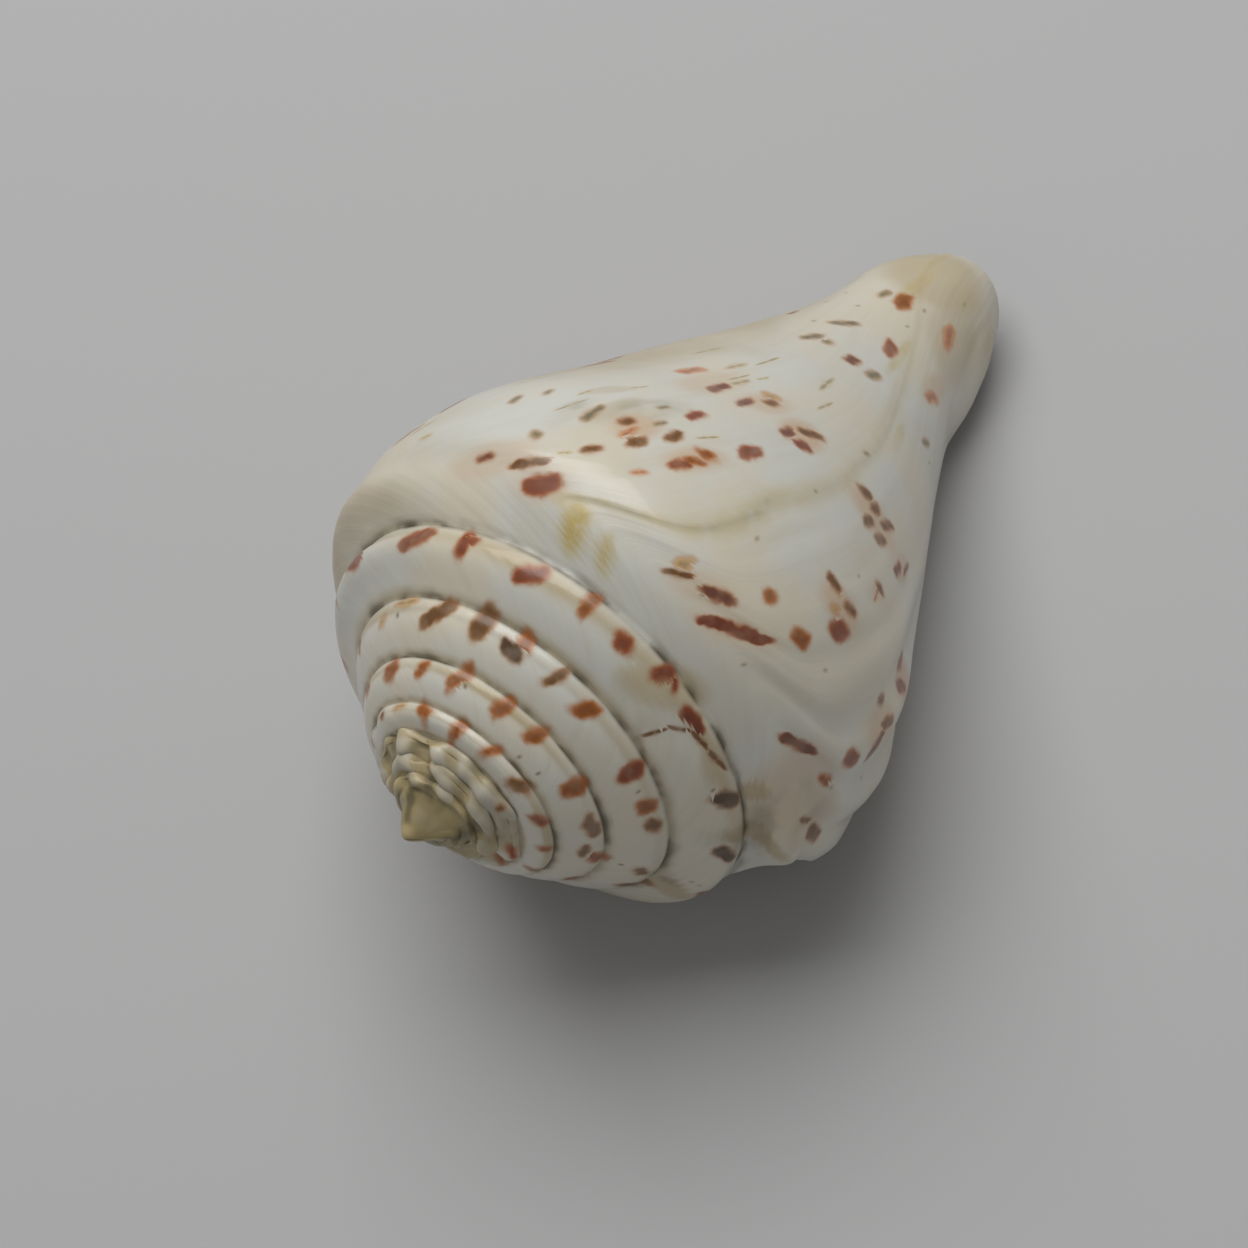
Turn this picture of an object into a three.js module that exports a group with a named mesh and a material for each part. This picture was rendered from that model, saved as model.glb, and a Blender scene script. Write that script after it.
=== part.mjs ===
// A cone shell: one coiled, thin-lipped solid lying on its opening.
//
// The shell is grown the way a snail grows it. One outline, the growth line, is swept round the
// coiling axis while it scales up, and every whorl starts on the flank of the whorl before it.
// Points are first found in the shell's own frame (station along the axis from the apex, radius
// and turning angle) and then laid down in the resting pose: millimetres, +Z up, the axis of the
// shell running towards +X, the origin under the middle of the shell.
import * as THREE from "three";

// ---- Driving dimensions -------------------------------------------------------------------

// Growth: each whorl is larger than the last, a little less so on the body whorl.
const GROWTH_PER_TURN = 0.273;
const LATE_SLOWING = 0.15;
const EARLY_WHORLS = -4.2; // turns: before this the spire is blunter
const EARLY_BLUNTING = 0.13;

// The growth line of the lip, as [radius, station] from the shoulder to the open front end.
const GROWTH_LINE = [
  [16.7, 14.6],
  [17.15, 16.2],
  [17.8, 18.8],
  [17.45, 23.2],
  [16.15, 27.0],
  [14.1, 31.2],
  [11.6, 36.5],
  [8.8, 42.1],
  [6.5, 47.4],
  [5.45, 51.4],
  [5.15, 54.2],
  [4.2, 56.4],
];
// How far each part of the growth line runs ahead of its start, in degrees: a deep notch beside
// the suture, a forward bulge on the flank and a swept-back canal.
const GROWTH_LEAN = [0, -30, -8, 1, 8, 13, 0, -18, -24];
const LIP_ANGLE = 101; // degrees round the axis from the top of the shell
const SUTURE = 0.17; // place on the growth line where the next whorl starts
const POCKET_START = 0.235; // place where the next whorl's inside wall starts
// Close to the lip the notch beside the suture changes: how far its edge runs ahead of the growth
// line, in degrees, in even steps from the suture to LIP_LEAN_END.
const LIP_LEAN = [-11, -9, 0, 5, 0, -6, -2, 0];
const LIP_LEAN_END = 0.35;
const LIP_ZONE = 0.12; // how many turns before the lip that change begins

// The shell is a little slimmer half a turn behind the lip: by what share, then the middle and
// half width of the slim zone, in turns and along the growth line.
const SLIMNESS = 0.045;
const SLIM_TURNS = [-0.47, 0.14];
const SLIM_PLACES = [0.45, 0.18];

// The newest shell has its shoulder planed round: how deep, where along the growth line (middle
// and half width), between which turns it fades in and out, and its direction, [radial, axial].
const PLANING = 0.9;
const PLANED_PLACES = [0.09, 0.08];
const PLANING_FADES_IN = [-0.48, -0.32];
const PLANING_FADES_OUT = [-0.06, -0.01];
const PLANING_DIRECTION = [-0.84, 0.54];

// Front end: a tongue that reaches furthest on top, on a canal that bends a little sideways.
const TIP_STATION = 54.8;
const TIP_FLARE = 0.7; // how far the lip spreads beside the canal
const TIP_FLARE_PLACES = [0.82, 0.08]; // middle and half width, along the growth line
const TIP_FLARE_TURNS = [-0.14, -0.04]; // between which turns it grows
const TONGUE = 5.4;
const CANAL_BEND = 0.7;
const COLUMELLA_THINNING = 0.6; // how much the pillar narrows at the front end
const COLUMELLA_SETBACK = 3.0;

// Walls and the hollow behind the lip.
const WALL = 1.25;
const LIP_EDGE = 0.6;
const HOLLOW_TURNS = 0.7;

// Apex: a small blunt horn on the first whorl, as [radius, station].
const HORN = [
  [0, 1.3],
  [0.55, 1.5],
  [1.1, 2.2],
  [1.4, 2.9],
];

// Resting pose.
const REST_ROLL = 25.6; // degrees about the shell's axis
const REST_PITCH = 21.3; // degrees the front end is tipped down

// Mesh fineness.
const COLUMNS_PER_TURN = 48;
const TURNS = 7;
const STRIP_STATIONS = [0, 0.035, 0.07, 0.1, 0.135, SUTURE];
const FLANK_STATIONS = [
  POCKET_START,
  ...[0.27, 0.32, 0.38, 0.44, 0.5, 0.56, 0.62, 0.68, 0.74, 0.8, 0.86, 0.91, 0.96, 1],
];

// ---- The growing outline ------------------------------------------------------------------

const STATIONS = [...STRIP_STATIONS, ...FLANK_STATIONS];
const SUTURE_ROW = STRIP_STATIONS.length - 1;
const POCKET_ROW = SUTURE_ROW + 1;
const LAST_ROW = STATIONS.length - 1;
const LIP_COLUMN = TURNS * COLUMNS_PER_TURN;
const DEEP_COLUMN = LIP_COLUMN - Math.round(HOLLOW_TURNS * COLUMNS_PER_TURN);
const DEGREES = Math.PI / 180;

function smooth(x) {
  const f = Math.min(Math.max(x, 0), 1);
  return f * f * (3 - 2 * f);
}

// From 0 to 1 as x goes from one place to another.
function rising(x, [from, to]) {
  return smooth((x - from) / (to - from));
}

// 1 in the middle, falling softly to 0 on both sides.
function bump(x, middle, halfWidth) {
  return Math.exp(-(((x - middle) / halfWidth) ** 2));
}

// Smooth curve through evenly spaced values, t from 0 to 1.
function through(values, t) {
  const spans = values.length - 1;
  const x = Math.min(Math.max(t, 0), 1) * spans;
  const i = Math.min(Math.floor(x), spans - 1);
  const f = x - i;
  const before = i > 0 ? values[i - 1] : 2 * values[0] - values[1];
  const after = i + 2 <= spans ? values[i + 2] : 2 * values[spans] - values[spans - 1];
  return (
    0.5 *
    (before * (-f + 2 * f * f - f * f * f) +
      values[i] * (2 - 5 * f * f + 3 * f * f * f) +
      values[i + 1] * (f + 4 * f * f - 3 * f * f * f) +
      after * (-f * f + f * f * f))
  );
}

// Scale of the outline at a turn, 0 at the lip and negative towards the apex.
function growth(turn) {
  const radial = Math.exp(GROWTH_PER_TURN * turn - LATE_SLOWING * (Math.exp(turn) - 1));
  const axial = radial * Math.exp(-EARLY_BLUNTING * Math.min(turn - EARLY_WHORLS, 0));
  return { radial, axial };
}

// Whole columns between the start of a growth line and the place it started from, one turn back.
const notchColumns = Math.round((-through(GROWTH_LEAN, SUTURE) / 360) * COLUMNS_PER_TURN);
const turnBack = 1 - notchColumns / COLUMNS_PER_TURN;

// Radius and station of the outline where the next whorl starts, at lip size. The outline starts
// on the whorl before it, so this is found by a few rounds of substitution.
function sutureOnLip() {
  let start = [GROWTH_LINE[0][0] * 0.85, GROWTH_LINE[0][1] * 0.85];
  let suture = start;
  for (let round = 0; round < 8; round++) {
    const line = [start, ...GROWTH_LINE];
    suture = [0, 1].map((k) => through(line.map((p) => p[k]), SUTURE));
    const back = growth(-turnBack);
    start = [suture[0] * back.radial, suture[1] * back.axial];
  }
  return suture;
}
const SUTURE_POINT = sutureOnLip();

// Radius and station of the outer surface in the growth line's own plane.
function outline(turn, t) {
  const here = growth(turn);
  const back = growth(turn - turnBack);
  const start = [
    (SUTURE_POINT[0] * back.radial) / here.radial,
    (SUTURE_POINT[1] * back.axial) / here.axial,
  ];
  const line = [start, ...GROWTH_LINE];
  const slimmer = 1 - SLIMNESS * bump(turn, ...SLIM_TURNS) * bump(t, ...SLIM_PLACES);
  const newest = rising(turn, PLANING_FADES_IN) * (1 - rising(turn, PLANING_FADES_OUT));
  const planed = PLANING * bump(t, ...PLANED_PLACES) * newest;
  const spread = TIP_FLARE * rising(turn, TIP_FLARE_TURNS) * bump(t, ...TIP_FLARE_PLACES);
  const bareRadius = through(line.map((p) => p[0]), t) * here.radial * slimmer;
  const bareStation = through(line.map((p) => p[1]), t) * here.axial;
  return {
    radius: bareRadius + spread + PLANING_DIRECTION[0] * planed,
    station: bareStation + PLANING_DIRECTION[1] * planed,
  };
}

// Angle round the axis, from the top of the shell. The notch deepens on the last whorl: on the
// spire the columns lean evenly from one suture to the next.
function angleAt(turn, t) {
  const notch = (360 * notchColumns) / COLUMNS_PER_TURN;
  const evenLean = -notch * Math.min(t / SUTURE, 1);
  const grown = smooth((turn + 1.5) / 0.5);
  const byLip = through(LIP_LEAN, t / LIP_LEAN_END) * rising(turn, [-LIP_ZONE, 0]);
  const lean = evenLean + (through(GROWTH_LEAN, t) - evenLean) * grown + byLip;
  return (LIP_ANGLE + 360 * turn + lean) * DEGREES;
}

// A point of the shell frame: x and y across the axis, z the station along it.
function placed(turn, t, radius, station) {
  const angle = angleAt(turn, t);
  const lastStation = GROWTH_LINE[GROWTH_LINE.length - 1][1] * growth(turn).axial;
  const inside = smooth((-turn - 1) / 0.3);
  const rim = TIP_STATION - (TONGUE * (1 - Math.cos(angle))) / 2 - COLUMELLA_SETBACK * inside;
  const drawn = smooth((t - 0.55) / 0.45) * (rim - lastStation);
  const pillar = smooth((t - 0.55) / 0.45) * smooth((-0.72 - turn) / 0.28);
  const thinned = radius * (1 - COLUMELLA_THINNING * pillar);
  const bend = CANAL_BEND * Math.max((t - 0.5) / 0.5, 0) ** 2;
  return new THREE.Vector3(
    thinned * Math.cos(angle),
    thinned * Math.sin(angle) + bend,
    station + drawn,
  );
}

function outerPoint(turn, t) {
  const { radius, station } = outline(turn, t);
  return placed(turn, t, radius, station);
}

// The inside wall lies square to the growth line, and thins out towards the lip and the front rim.
function innerPoint(turn, t) {
  const step = 0.01;
  const before = outline(turn, t - step);
  const after = outline(turn, t + step);
  const run = Math.hypot(after.radius - before.radius, after.station - before.station);
  const thinning = Math.max(smooth(1 + turn / 0.12), smooth((t - 0.85) / 0.15));
  const wall = WALL + (LIP_EDGE - WALL) * thinning;
  const { radius, station } = outline(turn, t);
  return placed(
    turn,
    t,
    radius - (wall * (after.station - before.station)) / run,
    station + (wall * (after.radius - before.radius)) / run,
  );
}

// ---- The closed surface -------------------------------------------------------------------

function buildShell() {
  const points = [];
  const triangles = [];
  const addPoint = (point) => points.push(point) - 1;
  const turnOf = (column) => (column - LIP_COLUMN) / COLUMNS_PER_TURN;
  const wherePartnerIs = (column) => column - COLUMNS_PER_TURN + notchColumns;
  const firstWhorlEnd = COLUMNS_PER_TURN - notchColumns;
  const apex = addPoint(new THREE.Vector3(0, 0, HORN[0][1]));

  // First whorl: from the horn out to the suture.
  function hornPoint(column, row) {
    const edge = outerPoint(turnOf(column), SUTURE);
    const share = row / SUTURE_ROW;
    const edgeRadius = Math.hypot(edge.x, edge.y);
    const line = [...HORN, [edgeRadius, edge.z]];
    const radius = through(line.map((p) => p[0]), share);
    const station = through(line.map((p) => p[1]), share);
    return new THREE.Vector3((edge.x * radius) / edgeRadius, (edge.y * radius) / edgeRadius, station);
  }

  const outer = [];
  for (let column = 0; column <= LIP_COLUMN; column++) {
    const partner = wherePartnerIs(column);
    const rows = [partner >= 0 ? outer[partner][SUTURE_ROW] : apex];
    const lastRow = column >= wherePartnerIs(DEEP_COLUMN) ? LAST_ROW : SUTURE_ROW;
    for (let row = 1; row <= lastRow; row++) {
      const onHorn = column < firstWhorlEnd && row < SUTURE_ROW;
      rows.push(addPoint(onHorn ? hornPoint(column, row) : outerPoint(turnOf(column), STATIONS[row])));
    }
    outer.push(rows);
  }
  const inner = [];
  for (let column = DEEP_COLUMN; column <= LIP_COLUMN; column++) {
    const rows = [outer[wherePartnerIs(column)][POCKET_ROW]];
    for (let row = 1; row <= LAST_ROW; row++) {
      rows.push(addPoint(innerPoint(turnOf(column), STATIONS[row])));
    }
    inner[column] = rows;
  }

  function addTriangle(a, b, c) {
    if (a !== b && b !== c && c !== a) triangles.push(a, c, b);
  }
  function addQuad(a, b, c, d) {
    addTriangle(a, b, c);
    addTriangle(a, c, d);
  }
  // Joins two rows of points that share no count, always advancing the shorter way.
  function addStrip(left, right) {
    let i = 0;
    let j = 0;
    while (i < left.length - 1 || j < right.length - 1) {
      const leftFirst = (i + 1) / left.length <= (j + 1) / right.length;
      if (j === right.length - 1 || (i < left.length - 1 && leftFirst)) {
        addTriangle(left[i], left[i + 1], right[j]);
        i++;
      } else {
        addTriangle(left[i], right[j + 1], right[j]);
        j++;
      }
    }
  }

  // Outside of every whorl, and the flank of the last whorl but one inside the hollow.
  for (let column = 0; column < LIP_COLUMN; column++) {
    for (let row = 0; row < outer[column].length - 1; row++) {
      const covered = row === SUTURE_ROW && column < wherePartnerIs(LIP_COLUMN);
      if (covered || row >= outer[column + 1].length - 1) continue;
      const [a, b] = [outer[column][row], outer[column + 1][row]];
      addQuad(a, outer[column][row + 1], outer[column + 1][row + 1], b);
    }
  }
  // The step where the first whorl starts.
  for (let row = 1; row < SUTURE_ROW; row++) {
    addTriangle(apex, outer[0][row + 1], outer[0][row]);
  }
  // Inside wall of the last whorl, facing the hollow.
  for (let column = DEEP_COLUMN; column < LIP_COLUMN; column++) {
    for (let row = 0; row < LAST_ROW; row++) {
      const [a, b] = [inner[column][row], inner[column + 1][row]];
      addQuad(a, b, inner[column + 1][row + 1], inner[column][row + 1]);
    }
  }
  // Edge of the lip.
  for (let row = 0; row < LAST_ROW; row++) {
    const [a, b] = [outer[LIP_COLUMN][row], inner[LIP_COLUMN][row]];
    addQuad(a, outer[LIP_COLUMN][row + 1], inner[LIP_COLUMN][row + 1], b);
  }
  // End of the hollow.
  const deepFlank = outer[wherePartnerIs(DEEP_COLUMN)].slice(POCKET_ROW);
  addStrip(inner[DEEP_COLUMN], deepFlank);
  // Front rim of the wall.
  for (let column = DEEP_COLUMN; column < LIP_COLUMN; column++) {
    const [a, b] = [outer[column][LAST_ROW], outer[column + 1][LAST_ROW]];
    addQuad(a, inner[column][LAST_ROW], inner[column + 1][LAST_ROW], b);
  }
  // Front end of the pillar: a fan round its middle.
  const ring = [inner[DEEP_COLUMN][LAST_ROW]];
  for (let column = wherePartnerIs(DEEP_COLUMN); column <= DEEP_COLUMN; column++) {
    ring.push(outer[column][LAST_ROW]);
  }
  const pillarEnd = new THREE.Vector3();
  const pillarRing = ring.slice(1, COLUMNS_PER_TURN / 2);
  pillarRing.forEach((index) => pillarEnd.addScaledVector(points[index], 1 / pillarRing.length));
  const centre = addPoint(pillarEnd);
  for (let k = 0; k < ring.length; k++) {
    addTriangle(centre, ring[(k + 1) % ring.length], ring[k]);
  }
  return { points, triangles };
}

// ---- Resting pose and the finished mesh -----------------------------------------------------

function layDown(points) {
  // Shell frame to part frame: the top of the shell up, the axis along +X.
  const pose = new THREE.Matrix4()
    .makeRotationY(REST_PITCH * DEGREES)
    .multiply(new THREE.Matrix4().makeRotationX(REST_ROLL * DEGREES))
    .multiply(
      new THREE.Matrix4().makeBasis(
        new THREE.Vector3(0, 0, 1),
        new THREE.Vector3(0, -1, 0),
        new THREE.Vector3(1, 0, 0),
      ),
    );
  points.forEach((point) => point.applyMatrix4(pose));
  const box = new THREE.Box3().setFromPoints(points);
  const middle = box.getCenter(new THREE.Vector3());
  points.forEach((point) => point.sub(new THREE.Vector3(middle.x, middle.y, box.min.z)));
}

function shellMesh() {
  const { points, triangles } = buildShell();
  layDown(points);
  const geometry = new THREE.BufferGeometry().setFromPoints(points);
  geometry.setIndex(triangles);
  geometry.computeVertexNormals();
  const porcelain = new THREE.MeshStandardMaterial({ color: 0xd9d3c4, roughness: 0.25, metalness: 0 });
  const mesh = new THREE.Mesh(geometry, porcelain);
  mesh.name = "shell";
  return mesh;
}

const coneShell = new THREE.Group();
coneShell.add(shellMesh());

export default coneShell;
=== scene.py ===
"""A cone shell lying on its opening: the visual model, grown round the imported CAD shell.

The shell is grown in its own frame first (station along the coiling axis from the apex, radius and
turning angle, in millimetres), with the same growth as the CAD part, and then laid down in the
part's frame. On top of the CAD's shape come the grooves, folds, healed break and fine relief. Marks
are placed in shell coordinates: degrees behind the lip, and percent along the growth line.
"""

import math

import bpy
import numpy as np
from mathutils import Matrix, Vector


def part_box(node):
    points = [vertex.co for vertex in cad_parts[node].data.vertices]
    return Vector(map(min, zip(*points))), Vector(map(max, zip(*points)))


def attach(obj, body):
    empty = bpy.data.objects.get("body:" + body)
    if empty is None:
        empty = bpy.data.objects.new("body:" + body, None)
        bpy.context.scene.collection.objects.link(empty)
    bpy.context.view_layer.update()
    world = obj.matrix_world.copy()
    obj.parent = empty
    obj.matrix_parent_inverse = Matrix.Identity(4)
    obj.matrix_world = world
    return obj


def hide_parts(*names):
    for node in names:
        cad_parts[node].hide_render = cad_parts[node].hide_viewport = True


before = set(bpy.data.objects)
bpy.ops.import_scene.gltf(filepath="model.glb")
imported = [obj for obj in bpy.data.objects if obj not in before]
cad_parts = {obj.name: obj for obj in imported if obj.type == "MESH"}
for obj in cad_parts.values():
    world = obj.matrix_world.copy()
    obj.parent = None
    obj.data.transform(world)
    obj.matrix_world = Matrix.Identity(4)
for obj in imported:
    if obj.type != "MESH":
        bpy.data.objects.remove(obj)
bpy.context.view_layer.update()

# ---- Driving dimensions, as in the CAD part (millimetres, degrees, turns) ----

GROWTH_PER_TURN = 0.273
LATE_SLOWING = 0.15
EARLY_WHORLS = -4.2  # before this turn the spire is blunter
EARLY_BLUNTING = 0.13
# The growth line of the lip, as (radius, station) from the shoulder to the open front end.
GROWTH_LINE = [
    (16.7, 14.6),
    (17.15, 16.2),
    (17.8, 18.8),
    (17.45, 23.2),
    (16.15, 27.0),
    (14.1, 31.2),
    (11.6, 36.5),
    (8.8, 42.1),
    (6.5, 47.4),
    (5.45, 51.4),
    (5.15, 54.2),
    (4.2, 56.4),
]
# How far each part of it runs ahead of its start, in degrees, and from when on.
GROWTH_LEAN = [0, -30, -8, 1, 8, 13, 0, -18, -24]
LEAN_TURNS = (-1.5, -1.0)
LIP_ANGLE = 101
SUTURE = 0.17  # place on the growth line where the next whorl starts
POCKET_START = 0.235  # place where the next whorl's inside wall starts
INNER_START = 0.035  # nearer the suture, the inside wall runs straight to the whorl before it
NOTCH = 22.5  # degrees between the start of a growth line and the place it started from
# Close to the lip the notch beside the suture changes: how far its edge runs ahead of the growth
# line, in degrees, in even steps from the suture to LIP_LEAN_END.
LIP_LEAN = [-11, -9, 0, 5, 0, -6, -2, 0]
LIP_LEAN_END = 0.35
LIP_ZONE = 0.12  # how many turns before the lip that change begins
# The shell is a little slimmer half a turn behind the lip: by what share, then the middle and
# half width of the slim zone, in turns and along the growth line.
SLIMNESS = 0.045
SLIM_TURNS = (-0.47, 0.14)
SLIM_PLACES = (0.45, 0.18)
# The newest shell has its shoulder planed round: how deep, where along the growth line (middle
# and half width), between which turns it fades in and out, and its direction (radial, axial).
PLANING = 0.9
PLANED_PLACES = (0.09, 0.08)
PLANING_FADES_IN = (-0.48, -0.32)
PLANING_FADES_OUT = (-0.06, -0.01)
PLANING_DIRECTION = (-0.84, 0.54)
TIP_STATION = 54.8
TIP_FLARE = 0.7  # how far the lip spreads beside the canal
TIP_FLARE_PLACES = (0.82, 0.08)  # middle and half width, along the growth line
TIP_FLARE_TURNS = (-0.14, -0.04)  # between which turns it grows
TONGUE = 5.4  # how much further the front end reaches on top
DRAWN_OUT_PLACES = (0.55, 1.0)  # part of the growth line that is drawn out to the front rim
CANAL_BEND = 0.7
CANAL_START = 0.5
COLUMELLA_THINNING = 0.6  # how much the pillar narrows at the front end
COLUMELLA_TURNS = (-1.0, -0.72)  # between which turns that ends
COLUMELLA_SETBACK = 3.0
SETBACK_TURNS = (-1.3, -1.0)
WALL = 1.25
LIP_EDGE = 0.6
LIP_THINNING_TURNS = (-0.12, 0)
RIM_THINNING_PLACES = (0.85, 1)
HOLLOW_TURNS = 0.7
# Apex: a small blunt horn on the first whorl, as (radius, station), a little finer than the CAD's.
HORN = [(0, 1.3), (0.3, 1.45), (0.75, 1.95), (1.15, 2.5), (1.42, 2.85)]
REST_ROLL = 25.6
REST_PITCH = 21.3

# ---- Mesh fineness ----

COLUMNS_PER_TURN = 240
TURNS = 9
STRIP_ROWS = 16  # from one suture to the next
GAP_ROWS = 8  # from the suture to where the next whorl's inside wall starts
FLANK_ROWS = 88

MM = 0.001  # one millimetre, in metres
STEP = 1e-3  # for slopes, in turns and in shares of the growth line
SEED = 7


def strip_stations():
    """Places along the growth line between two sutures, closer together beside each suture."""
    share = np.linspace(0, 1, STRIP_ROWS + 1)
    eased = 0.5 - 0.5 * np.cos(np.pi * share)
    return SUTURE * (0.6 * eased + 0.4 * share)


STATIONS = np.concatenate(
    [
        strip_stations(),
        np.linspace(SUTURE, POCKET_START, GAP_ROWS + 1)[1:],
        np.linspace(POCKET_START, 1, FLANK_ROWS + 1)[1:],
    ]
)
SUTURE_ROW = STRIP_ROWS
POCKET_ROW = STRIP_ROWS + GAP_ROWS
LAST_ROW = len(STATIONS) - 1
NOTCH_COLUMNS = round(COLUMNS_PER_TURN * NOTCH / 360)
TURN_BACK = 1 - NOTCH / 360
LIP_COLUMN = TURNS * COLUMNS_PER_TURN
DEEP_COLUMN = LIP_COLUMN - round(HOLLOW_TURNS * COLUMNS_PER_TURN)


def partner(column):
    """The column of the whorl before it that a column starts from."""
    return column - COLUMNS_PER_TURN + NOTCH_COLUMNS


def turn_of(column):
    """Turns from the lip, negative behind it."""
    return (column - LIP_COLUMN) / COLUMNS_PER_TURN


# ---- The growing outline ----


def smooth(x):
    """An S-curve from 0 to 1, level at both ends."""
    share = np.clip(x, 0, 1)
    return share * share * (3 - 2 * share)


def rising(x, low, high):
    """Smoothly from 0 to 1 as x goes from low to high."""
    return smooth((x - low) / (high - low))


def falling(x, low, high):
    """Smoothly from 1 to 0 as x goes from low to high."""
    return 1 - rising(x, low, high)


def pull(distance):
    """How strongly a knot of a smooth curve pulls at a distance, in spans between knots."""
    d = np.abs(distance)
    near = 1 - 2.5 * d**2 + 1.5 * d**3
    far = 2 - 4 * d + 2.5 * d**2 - 0.5 * d**3
    return np.where(d < 1, near, np.where(d < 2, far, 0))


def through(values, t):
    """A smooth curve through evenly spaced values, t from 0 to 1."""
    place = np.clip(t, 0, 1) * (len(values) - 1)
    knots = [2 * values[0] - values[1], *values, 2 * values[-1] - values[-2]]
    return sum(knot * pull(place - (k - 1)) for k, knot in enumerate(knots))


def growth(turn):
    """Radial and axial scale of the outline at a turn, 0 at the lip."""
    radial = np.exp(GROWTH_PER_TURN * turn - LATE_SLOWING * (np.exp(turn) - 1))
    axial = radial * np.exp(-EARLY_BLUNTING * np.minimum(turn - EARLY_WHORLS, 0))
    return radial, axial


def suture_on_lip():
    """Radius and station where the next whorl starts: it depends on itself, so by a few rounds."""
    line = np.array(GROWTH_LINE)
    start = suture = line[0] * 0.85
    for _ in range(8):
        suture = through([start, *line], SUTURE)
        start = suture * np.array(growth(-TURN_BACK))
    return suture


SUTURE_POINT = suture_on_lip()


def bump(x, middle, half_width):
    """1 in the middle, falling softly to 0 on both sides."""
    return np.exp(-(((x - middle) / half_width) ** 2))


def outline(turn, t):
    """Radius and station of the outer surface in the growth line's own plane."""
    result = []
    for k in range(2):
        here, back = growth(turn)[k], growth(turn - TURN_BACK)[k]
        start = SUTURE_POINT[k] * back / here
        result.append(through([start, *[p[k] for p in GROWTH_LINE]], t) * here)
    radius, station = result
    newest = rising(turn, *PLANING_FADES_IN) * falling(turn, *PLANING_FADES_OUT)
    planed = PLANING * bump(t, *PLANED_PLACES) * newest
    slimmer = 1 - SLIMNESS * bump(turn, *SLIM_TURNS) * bump(t, *SLIM_PLACES)
    spread = TIP_FLARE * rising(turn, *TIP_FLARE_TURNS) * bump(t, *TIP_FLARE_PLACES)
    radius = radius * slimmer + spread + PLANING_DIRECTION[0] * planed
    return radius, station + PLANING_DIRECTION[1] * planed


def angle_at(turn, t):
    """Angle round the axis from the top of the shell, in radians."""
    even_lean = -NOTCH * np.minimum(t / SUTURE, 1)
    grown = rising(turn, *LEAN_TURNS)
    lean = even_lean + (through(GROWTH_LEAN, t) - even_lean) * grown
    lean = lean + through(LIP_LEAN, t / LIP_LEAN_END) * rising(turn, -LIP_ZONE, 0)
    return np.radians(LIP_ANGLE + 360 * turn + lean)


def placed(turn, t, radius, station):
    """Points of the shell frame: across the axis twice, then the station along it."""
    angle = angle_at(turn, t)
    last_station = GROWTH_LINE[-1][1] * growth(turn)[1]
    inside = falling(turn, *SETBACK_TURNS)
    rim = TIP_STATION - TONGUE * (1 - np.cos(angle)) / 2 - COLUMELLA_SETBACK * inside
    front = rising(t, *DRAWN_OUT_PLACES)
    pillar = falling(turn, *COLUMELLA_TURNS)
    thinned = radius * (1 - COLUMELLA_THINNING * front * pillar)
    bend = CANAL_BEND * np.maximum((t - CANAL_START) / (1 - CANAL_START), 0) ** 2
    across = thinned * np.cos(angle)
    aside = thinned * np.sin(angle) + bend
    return np.stack([across, aside, station + front * (rim - last_station)], -1)


def bare_outer(turn, t):
    """The outer surface without its relief, as in the CAD part."""
    return placed(turn, t, *outline(turn, t))


def bare_inner(turn, t):
    """The inside wall: square to the growth line, thinner towards the lip and the front rim."""
    slope_step = 0.01
    (r0, s0), (r1, s1) = outline(turn, t - slope_step), outline(turn, t + slope_step)
    run = np.hypot(r1 - r0, s1 - s0)
    thinning = np.maximum(rising(turn, *LIP_THINNING_TURNS), rising(t, *RIM_THINNING_PLACES))
    wall = WALL + (LIP_EDGE - WALL) * thinning
    radius, station = outline(turn, t)
    return placed(turn, t, radius - wall * (s1 - s0) / run, station + wall * (r1 - r0) / run)


def unit(vectors):
    return vectors / np.maximum(np.linalg.norm(vectors, axis=-1, keepdims=True), 1e-9)


def slopes(turn, t):
    """Unit directions of the outer surface: on round the spiral, and along the growth line."""
    onward = bare_outer(turn + STEP, t) - bare_outer(turn - STEP, t)
    along = bare_outer(turn, t + STEP) - bare_outer(turn, t - STEP)
    return unit(onward), unit(along)


# ---- Relief: how far the surface stands out from the CAD's shape, in millimetres ----

SCAR_TURN = -0.265  # the lip was broken here once, and grew on
LUMP_WAVES = 14
LUMP_LENGTHS = (1.3, 3.6)  # shortest and longest, in millimetres
RIPPLES_PER_TURN = [17, 23, 31, 44, 58]
SLOW_WAVES_PER_TURN = [2.3, 3.7, 5.1]
FOLDS_PER_TURN = 21
# Heights and depths in millimetres. Where they grow with the whorls, they are those at the lip.
SUTURE_DEPTH = 0.08
FREE_EDGE_DEPTH = 0.05
GROOVE_HALF_WIDTH = 0.008  # of both grooves, as a share of the growth line
RIM_PLANING = 0.42
EARLY_PLANING = 0.25  # added to that on the early whorls
RIM_SWELLING = 0.75
RIM_SWELLING_TURNS = (-1.58, 0.22)  # middle and half width
RIM_PLACES = (0.095, 0.042)  # middle and half width of the corner, along the growth line
LUMP_HEIGHT = 0.42
RIPPLE_HEIGHT = 0.015
NEWEST_RIPPLE_HEIGHT = 0.03  # added to that on the newest part
FOLD_HEIGHT = 0.27
SLOW_HEIGHT = 0.06
BREAK_DEPTH = 0.06
BREAK_RIDGE = 0.015
BREAK_RECOVERY = 0.035  # turns over which the newer shell grows back out
LIP_SHOULDER = 0.25
LIP_VALLEY = 0.30
CRACK_DEPTH = 0.10
CRACK_HALF_WIDTH = 0.45
# The crack on the last whorl but one, as turns and places on the growth line.
CRACK = [(-1.195, 0.017), (-1.167, 0.052), (-1.126, 0.092), (-1.096, 0.121), (-1.078, 0.153)]


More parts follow.
